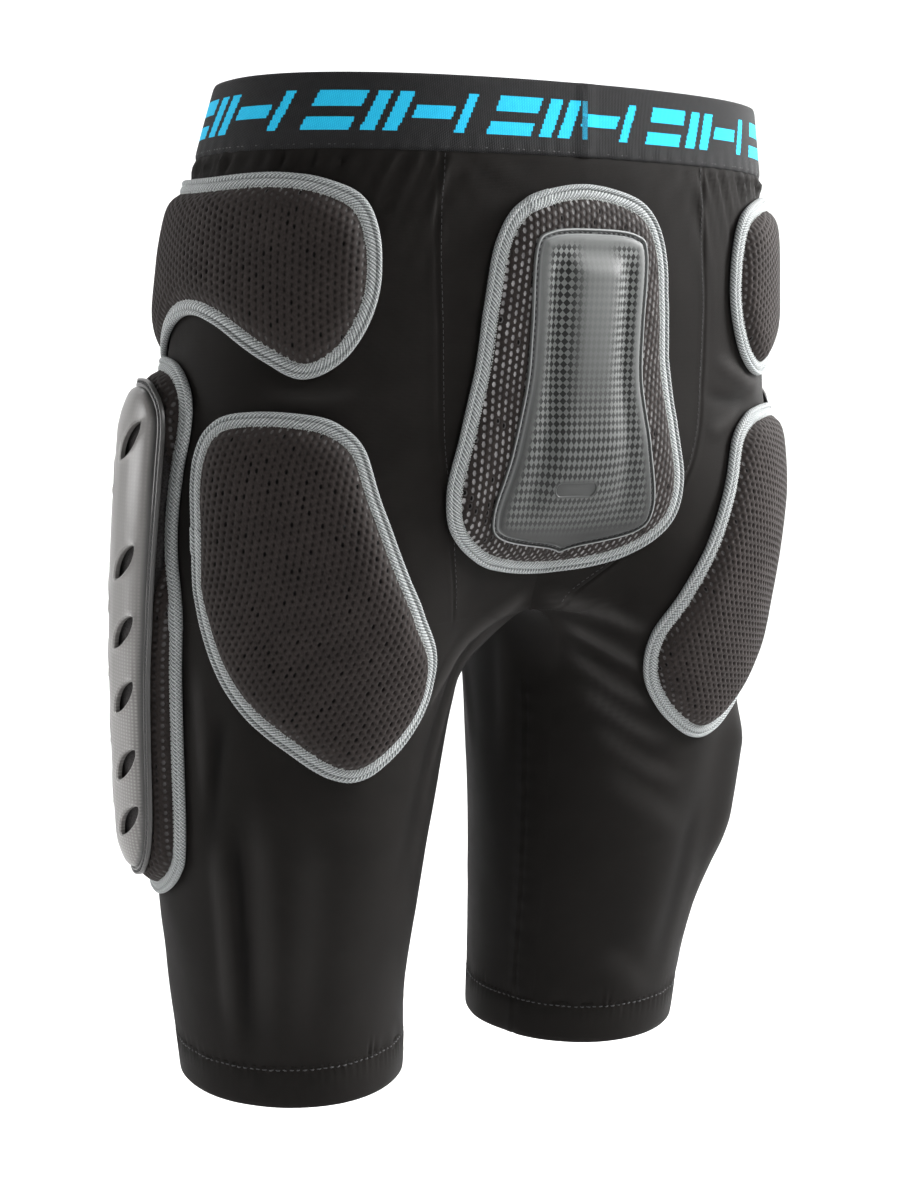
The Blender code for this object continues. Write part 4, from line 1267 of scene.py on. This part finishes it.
def net(outline, turn, shut, hidden, size):
    """An open net over an outline: flat points, faces, drop below the top of the yarn, and pit values.

    shut is how dark the half-closed holes are, size how large they are, and hidden an outline
    under which nothing shows.
    """
    spin = np.array([[cos(turn), -sin(turn)], [sin(turn), cos(turn)]])
    centres, middle = cell_centres(outline, spin, hidden)
    points, drops, pits, faces, known = [], [], [], [], {}

    def add(place, drop, pit):
        points.append(place)
        drops.append(drop)
        pits.append(pit)
        return len(points) - 1

    for centre in centres:
        corners = []
        for shift in CELL_CORNERS:
            key = tuple(np.round((centre + shift) * 20).astype(int))
            if key not in known:
                known[key] = add(centre + shift, 0.0, 0.0)
            corners.append(known[key])
        black = CHANCE.random() < OPEN_SHARE
        wide = size * (1.08 if black else 0.9 + 0.2 * CHANCE.random())
        deep, dark = (1.5, 1.0) if black else (1.0, shut)
        rim = [add(centre + wide * shift, RIM_DROP, 0.3 * dark) for shift in RIM_SHAPE]
        pit = [add(centre + HOLE_WALL * wide * shift, deep * HOLE_DEPTH, dark)
               for shift in RIM_SHAPE]
        bottom = add(centre, deep * HOLE_DEPTH + 0.15, dark)
        for i in range(6):
            j = (i + 1) % 6
            faces.append([corners[i], corners[j], rim[j], rim[i]])
            faces.append([rim[i], rim[j], pit[j], pit[i]])
            faces.append([pit[i], pit[j], bottom])
    flat = np.array(points) @ spin.T + middle
    return flat, faces, np.array(drops), np.array(pits)


def net_cover(outline, wrap, crown, turn, before, moved, look, hidden):
    """The mesh fabric over the foam: wrapped points, faces, flat places and values."""
    shut, pale_everywhere, pale_edge, size = look
    flat, faces, drops, pits = net(outline, turn, shut, hidden, size)
    place = np.c_[flat, np.zeros(len(flat))] * MM
    flat = flat + NET_WAVE * np.stack([waves(place, 0.02, seed) for seed in (8, 9)], -1)
    depth = depth_inside(outline, flat)
    lift = pad_lift(depth, crown)
    base = wrap(flat, lift)
    normals = wrap(flat, lift + FAR) - base
    loose = smooth(5, 16, depth)
    if hidden is not None:
        loose = loose * smooth(0, -7, depth_inside(hidden, flat))
    lift = lift + loose * swelling_at(base, normals, before, moved)
    lift = lift + 0.45 * loose * waves(base, 0.024, 10)
    vertices = wrap(flat, lift - drops)
    patchy = 0.75 + 0.5 * waves(base, 0.006, 11)
    pale = np.maximum(pale_everywhere, pale_edge * np.exp(-np.clip(depth - 9.0, 0, None) / 2.8))
    pale = np.where(pits > 0.97, 0, pale * patchy)
    return vertices, faces, flat, {"pit": pits, "pale": pale}


TAPE_PROFILE = [             # inset from the outline and height above the skin, in millimetres
    (1.2, 0.8), (-0.2, 1.2), (-0.6, 2.4), (-0.4, 3.6), (0.3, 4.5), (1.0, 4.8), (1.7, 4.5), (2.1, 3.9),
    (2.3, 3.4), (2.7, 4.0), (3.4, 4.6), (4.4, 4.9), (5.5, 4.9), (6.4, 4.6), (7.0, 4.0), (7.3, 3.1),
    (7.0, 2.2), (4.6, 1.2), (2.4, 0.8)]
TAPE_ROLL = 2.2              # the corded outer roll ends and the flat tape begins
TAPE_INNER = 7.1
RIB_PITCH = 2.2
ZIGZAG_PITCH = 2.7
ROLL_RELIEF = 0.17
TAPE_RELIEF = 0.14
ROLL_FLAT = 40               # keeps the roll's flat places apart from the tape's


def tape(outline, wrap, joint_at):
    """Bound edge: a corded outer roll, a groove and a flat twill tape, with its overlap."""
    size = len(outline)
    run = np.arange(size) / size * np.linalg.norm(np.diff(outline, axis=0), axis=1).sum()
    away = (run - joint_at * run[-1] + run[-1] / 2) % run[-1] - run[-1] / 2
    overlap = smooth(-0.6, 0.6, away) * smooth(15.0, 13.0, away)
    place = np.c_[outline, np.zeros(size)] * MM
    sway = 0.30 * waves(place, 0.016, 12)
    puff = 0.22 * waves(place, 0.011, 13)
    stack, flats, ribs = [], [], []
    across, before, last = 0.0, 0.0, TAPE_PROFILE[0]
    for distance, height in TAPE_PROFILE:
        before, across = across, across + np.hypot(distance - last[0], height - last[1])
        last = (distance, height)
        outer, raised = distance < TAPE_ROLL, height > 1.5
        ridge = np.sin(2 * pi * (run - (before + (0 if outer else 1.2))) / RIB_PITCH)
        ribs.append(ridge if raised else 0 * run)
        relief = (ROLL_RELIEF if outer else TAPE_RELIEF) * ridge
        out = height + raised * (relief + puff + 0.6 * overlap)
        shift = distance + raised * (sway * (1 if outer else 1.4)) + overlap * (distance - 2) / 6
        stack.append(wrap(inset(outline, shift), out))
        flats.append(np.stack([run, np.full(size, across + (ROLL_FLAT if outer else 0))], -1))
    return (np.concatenate(stack), rings(stack, closed_ends=True), np.concatenate(flats),
            {"rib": np.concatenate(ribs)})


def edge_thread(outline, wrap):
    """The zigzag that holds the tape's inner edge down."""
    dense = len(outline) * 2
    place = np.linspace(0, len(outline), dense, endpoint=False)
    line = inset(outline, TAPE_INNER)
    path = points_at(place, np.arange(len(line) + 1), np.concatenate([line, line[:1]]))
    length = np.linalg.norm(np.diff(outline, axis=0), axis=1).sum()
    turns = round(length / ZIGZAG_PITCH)
    wiggle = 0.5 * np.sin(2 * pi * turns * np.arange(dense) / dense)
    points = wrap(inset(path, wiggle), 4.45 - 0.25 * wiggle)
    return thread(points, 0.33 * MM, closed=True, sides=5)


def pad(name, turn, joint_at, hands, carried, look=(0.5, 0.0, 0.6, 1.0), hidden=None):
    """Foam, net cover, bound edge and thread of one kind of pad, on one or both sides.

    turn is the net's, joint_at is where round the edge the tape's ends overlap, carried says what
    the pad moves with, and hidden is the outline of the moulded part that covers it. look is how
    dark the net's holes are, how pale they are everywhere and near the edge, and their size.
    """
    wrap, crown = PAD_WRAPS[name], PAD_CROWNS[name]
    outline = closed_outline(PAD_POINTS[name], 0.52)
    foam, before, moved = foam_body(name + "_foam_core", wrap, outline[::2], crown, hidden)
    cover = net_cover(outline[::5], wrap, crown, turn, before, moved, look, hidden)
    bound = tape(outline, wrap, joint_at)
    sewn = edge_thread(outline, wrap)
    for hand, side_name in hands:
        full = (side_name + "_" if side_name else "") + name
        body = np.array([v.co for v in foam.data.vertices])
        polygons = [list(p.vertices) for p in foam.data.polygons]
        vertices, faces, flat, values = cover
        pieces = [(piece(full + "_core", body, polygons, FOAM, hand), "foam", "foam"),
                  (piece(full + "_net", vertices, faces, MESH, hand, flat, values), "mesh_cover",
                   "spacer_mesh"),
                  (piece(full + "_tape", bound[0], bound[1], TAPE, hand, *bound[2:]), "binding",
                   "binding_tape"),
                  (piece(full + "_tape_thread", *sewn, PALE_THREAD, hand), None, "binding_tape")]
        for made, node, slot in pieces:
            if node:
                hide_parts(full + "_" + node)
            carried(made, hand, side_name)
    bpy.data.objects.remove(foam)


def on_pelvis(made, hand, side_name):
    """Moves a piece with the pelvis; it is called as bends() and on_leg() are."""
    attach(made, "pelvis")


def on_leg(made, hand, side_name):
    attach(made, side_name + "_leg")


# ---- moulded parts ------------------------------------------------------------------------------
def triangulated(outline, loops, holes, spacing):
    """Triangles over an outline, round its holes; their edges follow the loops."""
    low, high = outline.min(axis=0), outline.max(axis=0)
    x, z = np.meshgrid(np.arange(low[0], high[0], spacing),
                       np.arange(low[1], high[1], 0.87 * spacing))
    x[1::2] += spacing / 2
    grid = np.stack([x.ravel(), z.ravel()], -1)
    clear = depth_inside(outline, grid) > 0
    points, edges = [], []
    for loop in [outline] + loops + holes:
        clear &= np.abs(depth_inside(loop, grid)) > 0.5 * spacing
        start = len(points)
        points += list(loop)
        edges += [(start + i, start + (i + 1) % len(loop)) for i in range(len(loop))]
    points += list(grid[clear])
    found = geometry.delaunay_2d_cdt([Vector(p) for p in points], edges, [], 0, 1e-4)
    flat = np.array([tuple(v) for v in found[0]])
    faces = np.array([list(face) for face in found[2] if len(face) == 3])
    middle = flat[faces].mean(axis=1)
    keep = depth_inside(outline, middle) > 0
    for hole in holes:
        keep &= depth_inside(hole, middle) < 0
    return flat, faces[keep]


def moulding(flat, faces, wrap, top, bottom):
    """A closed solid between two heights over the skin: vertices, faces and flat places."""
    faces = [list(map(int, face)) for face in faces]
    low = len(flat)
    directed = {(face[i], face[(i + 1) % 3]) for face in faces for i in range(3)}
    walls = [[b, a, low + a, low + b] for a, b in sorted(directed) if (b, a) not in directed]
    under = [[low + i for i in face[::-1]] for face in faces]
    vertices = np.concatenate([wrap(flat, top), wrap(flat, bottom)])
    return vertices, faces + under + walls, np.concatenate([flat, flat])


PLATE_BASE = TAILBONE_CROWN + 0.4
PLATE_RIM = [(0, -0.2), (0.12, 0.6), (0.35, 1.25), (0.75, 1.45), (1.1, 1.25), (1.3, 0.5), (1.55, 0.2),
             (2.75, 0.2), (2.95, 0.5), (3.2, 1.5), (3.7, 2.3), (4.6, 2.8), (6.5, 3.1), (14.0, 3.3)]
PLATE_ACROSS = [(0.0, 4.2), (0.15, 4.1), (0.30, 3.5), (0.42, 1.9), (0.52, -0.8), (0.60, -2.0),
                (0.67, -1.5), (0.74, -0.4), (0.80, 0.0), (1.0, 0.0)]
PLATE_TIP = [(9, -240.4), (0, -242.4)]
PLATE_OUTLINE = closed_outline(whole(PLATE_HALF[:-1] + PLATE_TIP), 1.1) * [0.965, 1]
PLATE_GROOVE = 2.15          # the middle of its stitched groove, inside the outline
PILL_CENTRE = (-5.0, -206.5)
PILL_HALF = (9.5, 3.4)       # half of its straight length, and its radius
PILL_DEPTH = 0.55


def half_width(outline, z):
    """Half width of a symmetric outline at each height."""
    right = outline[outline[:, 0] >= 0]
    right = right[np.argsort(right[:, 1])]
    return np.interp(z, right[:, 1], right[:, 0])


def pill_depth(flat):
    """How far inside the plate's sunk pill each flat place lies."""
    x, z = flat[:, 0] - PILL_CENTRE[0], flat[:, 1] - PILL_CENTRE[1]
    along = np.clip(x, -PILL_HALF[0], PILL_HALF[0])
    return PILL_HALF[1] - np.hypot(x - along, z)


def width_share(flat):
    """0 on the plate's mid line and 1 at its edge."""
    return np.abs(flat[:, 0]) / np.maximum(half_width(PLATE_OUTLINE, flat[:, 1]), 1)


def plate_lift(flat):
    """Height of the plate's face above the skin, in millimetres."""
    depth = np.clip(depth_inside(PLATE_OUTLINE, flat), 0, None)
    rim = np.interp(depth, *zip(*PLATE_RIM))
    z = flat[:, 1]
    ends = smooth(-85, -98, z) * smooth(-228, -205, z)
    crowned = 0.55 + 0.45 * smooth(-215, -120, z)
    bulge = through(PLATE_ACROSS, 1, width_share(flat)) * ends * crowned * smooth(4.5, 9, depth)
    sunk = PILL_DEPTH * smooth(0.0, 0.5, pill_depth(flat))
    return PLATE_BASE + rim + bulge - sunk


def pill_loop(radius):
    """Outline of the pill, grown or shrunk to a radius."""
    turn = np.linspace(0, 2 * pi, 64, endpoint=False)
    x = np.cos(turn) * radius + np.sign(np.cos(turn)) * PILL_HALF[0]
    return np.stack([x + PILL_CENTRE[0], np.sin(turn) * radius + PILL_CENTRE[1]], -1)


def tailbone_plate():
    """The moulded plate over the tailbone pad, with its stitched groove."""
    wrap = PAD_WRAPS["tailbone"]
    loops = [inset(PLATE_OUTLINE, depth) for depth, _ in PLATE_RIM[1:-1]]
    loops += [pill_loop(PILL_HALF[1]), pill_loop(PILL_HALF[1] - 0.5)]
    flat, faces = triangulated(PLATE_OUTLINE, loops, [], 1.35)
    vertices, faces, places = moulding(flat, faces, wrap, plate_lift(flat), PLATE_BASE - 0.4)
    depth = depth_inside(PLATE_OUTLINE, places)
    field = smooth(5.0, 10.0, depth) * smooth(-0.2, -0.6, pill_depth(places))
    fade = smooth(-233, -222, places[:, 1])
    # Painted highlight: the check fades in the upper middle, as if washed out by a broad reflection.
    painted_highlight_middle = smooth(0.50, 0.15, width_share(places)) * smooth(-190, -140, places[:, 1])
    fade = fade * (1 - 0.75 * painted_highlight_middle)
    # Painted highlight along the lip: a bright line at its outer edge and a fainter one on the
    # groove's inner wall.
    lip_highlight = np.exp(-((depth - 0.7) / 0.35)**2) + 0.7 * np.exp(-((depth - 3.2) / 0.4)**2)
    made = piece("tailbone_moulded_plate", vertices, faces, PLATE, flat=places,
                 values={"field": field * fade, "lip_highlight": lip_highlight})
    finish_moulding(made, "tailbone_plate")
    on_pelvis(made, 1, "")

    sewn = stitched_groove("tailbone_plate_stitches", wrap, inset(PLATE_OUTLINE, PLATE_GROOVE),
                           PLATE_BASE + 0.2, 1)
    on_pelvis(sewn, 1, "")


def finish_moulding(made, node):
    """Keeps the moulded edges crisp, and hides the CAD part that the piece stands for."""
    made.data.set_sharp_from_angle(angle=radians(38))
    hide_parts(node)


def stitched_groove(name, wrap, line, lift, hand):
    """A row of dark stitches along a closed flat line."""
    line = np.concatenate([line, line[:1]])
    path = wrap(line, lift)
    out = wrap(line, lift + FAR) - path
    points, faces = stitches(path, out, 2.3 * MM, 0.9 * MM, 0.42 * MM, 0.30 * MM)
    made = piece(name, points, faces, DARK_THREAD, hand)
    return made


SHELL_BASE = THIGH_CROWN - 0.8
SHELL_RIM = [(0, -0.2), (0.15, 0.8), (0.5, 1.35), (1.2, 1.35), (1.5, 0.8), (2.4, 0.75), (2.7, 1.5),
             (3.2, 1.7), (3.7, 1.5), (4.0, 0.8), (4.6, 0.9), (5.0, 1.9), (5.5, 3.0), (6.4, 4.1),
             (8.0, 5.2), (10.5, 6.3), (13.5, 7.3), (18.0, 8.5), (26.0, 9.8), (34.0, 10.1)]
SHELL_WALL = 2.2
SHELL_GROOVE = 1.95
SHELL_OUTLINE = closed_outline(whole(SHELL_HALF), 1.2)
LINER_GAP = 2.2


def slot_loop(offset, z, slant, grow=0.0):
    """Outline of one leaf-shaped slot."""
    turn = np.linspace(0, 2 * pi, 26, endpoint=False)
    along = (SLOT_LENGTH / 2 + grow) * np.cos(turn)
    across = (SLOT_WIDTH / 2 + grow) * np.sin(turn) * np.abs(np.sin(turn))**0.45
    return np.stack([offset + along * cos(slant) - across * sin(slant),
                     z + along * sin(slant) + across * cos(slant)], -1)


SLOTS = ([(SLOT_OFFSET, z, SLOT_SLANT) for z in REAR_SLOT_Z]
         + [(-FRONT_SLOT_OFFSET, z, -SLOT_SLANT) for z in FRONT_SLOT_Z])


def shell_lift(flat):
    """Height of the shell's face above the skin, in millimetres, with a bead round each slot."""
    depth = np.clip(depth_inside(SHELL_OUTLINE, flat), 0, None)
    lift = SHELL_BASE + np.interp(depth, *zip(*SHELL_RIM))
    for slot in SLOTS:
        near = np.hypot(flat[:, 0] - slot[0], flat[:, 1] - slot[1]) < 20
        away = -depth_inside(slot_loop(*slot), flat[near])
        lift[near] += 0.42 * np.exp(-((away - 1.1) / 0.7)**2) - 0.35 * np.exp(-(away / 0.35)**2)
    return lift


def thigh_shell(moulded, hand, side_name):
    """One moulded shell, with its stitched groove."""
    vertices, faces, places = moulded
    flange = smooth(6.2, 4.8, depth_inside(SHELL_OUTLINE, places))
    made = piece(side_name + "_thigh_moulded_shell", vertices, faces, SHELL, hand, places,
                 {"flange": flange})
    finish_moulding(made, side_name + "_thigh_shell")
    on_leg(made, hand, side_name)
    sewn = stitched_groove(side_name + "_thigh_shell_stitches", PAD_WRAPS["thigh"],
                           inset(SHELL_OUTLINE, SHELL_GROOVE), SHELL_BASE + 0.75, hand)
    on_leg(sewn, hand, side_name)


def liner_geometry():
    """Black foam that fills the shell's dome and shows through its slots."""
    flat, faces = triangulated(inset(SHELL_OUTLINE, 5.5)[::2], [], [], 4.0)
    top = shell_lift(flat) - SHELL_WALL - LINER_GAP
    return moulding(flat, faces, PAD_WRAPS["thigh"], top, SHELL_BASE - 3.0)


def thigh_liner(moulded, hand, side_name):
    vertices, faces, places = moulded
    made = piece(side_name + "_thigh_liner", vertices, faces, FOAM, hand, places)
    on_leg(made, hand, side_name)


def shell_geometry():
    """The shell with its slots cut out, for both sides."""
    loops = [inset(SHELL_OUTLINE, depth) for depth, _ in SHELL_RIM[1:-5]]
    holes = [slot_loop(*slot) for slot in SLOTS]
    for grow in (0.45, 1.1, 2.0):
        loops += [slot_loop(*slot, grow) for slot in SLOTS]
    flat, faces = triangulated(SHELL_OUTLINE, loops, holes, 1.9)
    top = shell_lift(flat)
    bottom = np.maximum(top - SHELL_WALL, SHELL_BASE - 0.8)
    return moulding(flat, faces, PAD_WRAPS["thigh"], top, bottom)


# ---- building -----------------------------------------------------------------------------------
waistband()
waistband_stitches()
for hand, side_name in HANDS:
    jersey(hand, side_name)
    seam_stitches(hand, side_name)
    hem(hand, side_name)
pad("tailbone", radians(-5), 0.04, ((1, ""), ), on_pelvis, (0.9, 0.75, 1.0, 1.15), PLATE_OUTLINE[::3])
pad("hip", radians(5), 0.30, HANDS, on_pelvis)
pad("glute", radians(-20), 0.20, HANDS, bends)
pad("thigh", 0.0, 0.76, HANDS, on_leg, (0.7, 0.03, 0.25, 1.1), SHELL_OUTLINE[::3])
tailbone_plate()
SHELL_PARTS = shell_geometry()
LINER_PARTS = liner_geometry()
for hand, side_name in HANDS:
    thigh_shell(SHELL_PARTS, hand, side_name)
    thigh_liner(LINER_PARTS, hand, side_name)


# ---- camera, light and floor --------------------------------------------------------------------
CAMERA_PLACE = (0.5620, 0.9064, -0.1306)
CAMERA_LOOK = (-0.50056, -0.85412, -0.14113)
CAMERA_ROLL = 0.0043
LENS = 55.5
FLOOR_Z = -0.84
FLOOR_REACH = 3.6            # the floor is level this far out, and then curves up
COVE_RADIUS = 1.6
BACKDROP_HEIGHT = 5.0
FLOOR_SIDES = 72
SUBJECT = (0, 0, -0.28)
# Name, place, size in metres, power in watts and what the light is aimed at.
LIGHTS = [
    ("key", (-1.45, 0.55, 0.50), (0.5, 0.8), 80, SUBJECT),
    ("high_back", (-0.55, 1.45, 1.15), (0.5, 0.5), 26, SUBJECT),
    ("left_fill", (2.7, 0.7, 0.3), (0.9, 1.8), 2.5, SUBJECT),
    ("left_rim", (2.0, -1.3, 0.2), (0.7, 1.8), 36, SUBJECT),
    ("right_rim", (-2.2, -0.9, 0.3), (0.8, 1.8), 36, SUBJECT),
    ("top", (0, 0.2, 2.3), (1.6, 1.6), 6, SUBJECT),
    ("floor_wash", (-0.2, -2.1, 1.5), (2.6, 1.4), 26, (-0.2, -2.3, FLOOR_Z)),
]
# Backdrop lights: the way they face, in degrees, and their power.
BACKDROP_LIGHTS = [(60, 1), (150, 3), (222, 34), (256, 34), (330, 12)]
WORLD_STRENGTH = 0.03


def facing(place, direction):
    """The matrix of a camera or light at a place that looks in a direction."""
    turn = Vector(direction).to_track_quat("-Z", "Y")
    return Matrix.Translation(place) @ turn.to_matrix().to_4x4()


def add_camera():
    data = bpy.data.cameras.new("camera")
    data.lens = LENS
    data.sensor_width = 36
    camera = bpy.data.objects.new("camera", data)
    camera.matrix_world = facing(CAMERA_PLACE, CAMERA_LOOK) @ Matrix.Rotation(CAMERA_ROLL, 4, "Z")
    bpy.context.collection.objects.link(camera)
    bpy.context.scene.camera = camera


def add_light(name, place, size, power, target):
    data = bpy.data.lights.new(name, "AREA")
    data.shape = "RECTANGLE"
    data.size, data.size_y = size
    data.energy = power
    light = bpy.data.objects.new(name, data)
    light.matrix_world = facing(place, Vector(target) - Vector(place))
    bpy.context.collection.objects.link(light)


def add_floor():
    """A pale floor that curves up into a backdrop all the way round."""
    cove = np.linspace(0.12, pi / 2, 10)
    radii = [0.0001, 2.5, FLOOR_REACH, *(FLOOR_REACH + COVE_RADIUS * np.sin(cove)),
             FLOOR_REACH + COVE_RADIUS]
    heights = [0, 0, 0, *(COVE_RADIUS * (1 - np.cos(cove))), BACKDROP_HEIGHT]
    turn = np.linspace(0, 2 * pi, FLOOR_SIDES, endpoint=False)
    stack = [np.stack([radius * np.cos(turn), radius * np.sin(turn),
                       np.full(FLOOR_SIDES, FLOOR_Z + height)], -1)
             for radius, height in zip(radii, heights)]
    f = Finish("floor", Roughness=0.9, Specular_IOR_Level=0.1)
    f.colour(f.ramp(f.noise(f.place(), 3.0, 2.0), (0.0, 0.90), (1.0, 0.93)))
    made = piece("floor", np.concatenate(stack), rings(stack), f.material)


def add_world():
    world = bpy.data.worlds.new("studio")
    world.use_nodes = True
    background = world.node_tree.nodes["Background"]
    background.inputs["Color"].default_value = (1, 1, 1, 1)
    background.inputs["Strength"].default_value = WORLD_STRENGTH
    bpy.context.scene.world = world


bpy.context.scene.view_settings.view_transform = "Standard"
add_camera()
for light in LIGHTS:
    add_light(*light)
for turn, power in BACKDROP_LIGHTS:
    place = (2.9 * cos(radians(turn)), 2.9 * sin(radians(turn)), 0.7)
    away = (5.0 * cos(radians(turn)), 5.0 * sin(radians(turn)), -0.4)
    add_light("backdrop_" + str(turn), place, (2.6, 1.4), power, away)
add_floor()
add_world()


def piece_bounds():
    """Lowest and highest corner of everything made here except the floor."""
    corners = []
    for made in bpy.context.scene.objects:
        if made.type == "MESH" and not made.hide_render and made.name != "floor":
            points = np.array([made.matrix_world @ v.co for v in made.data.vertices])
            corners += [points.min(axis=0), points.max(axis=0)]
    corners = np.array(corners)
    return corners.min(axis=0).tolist(), corners.max(axis=0).tolist()


cad = [list(corner) for corner in CAD_BOUNDS]
{"cad": cad, "visual": list(piece_bounds())}
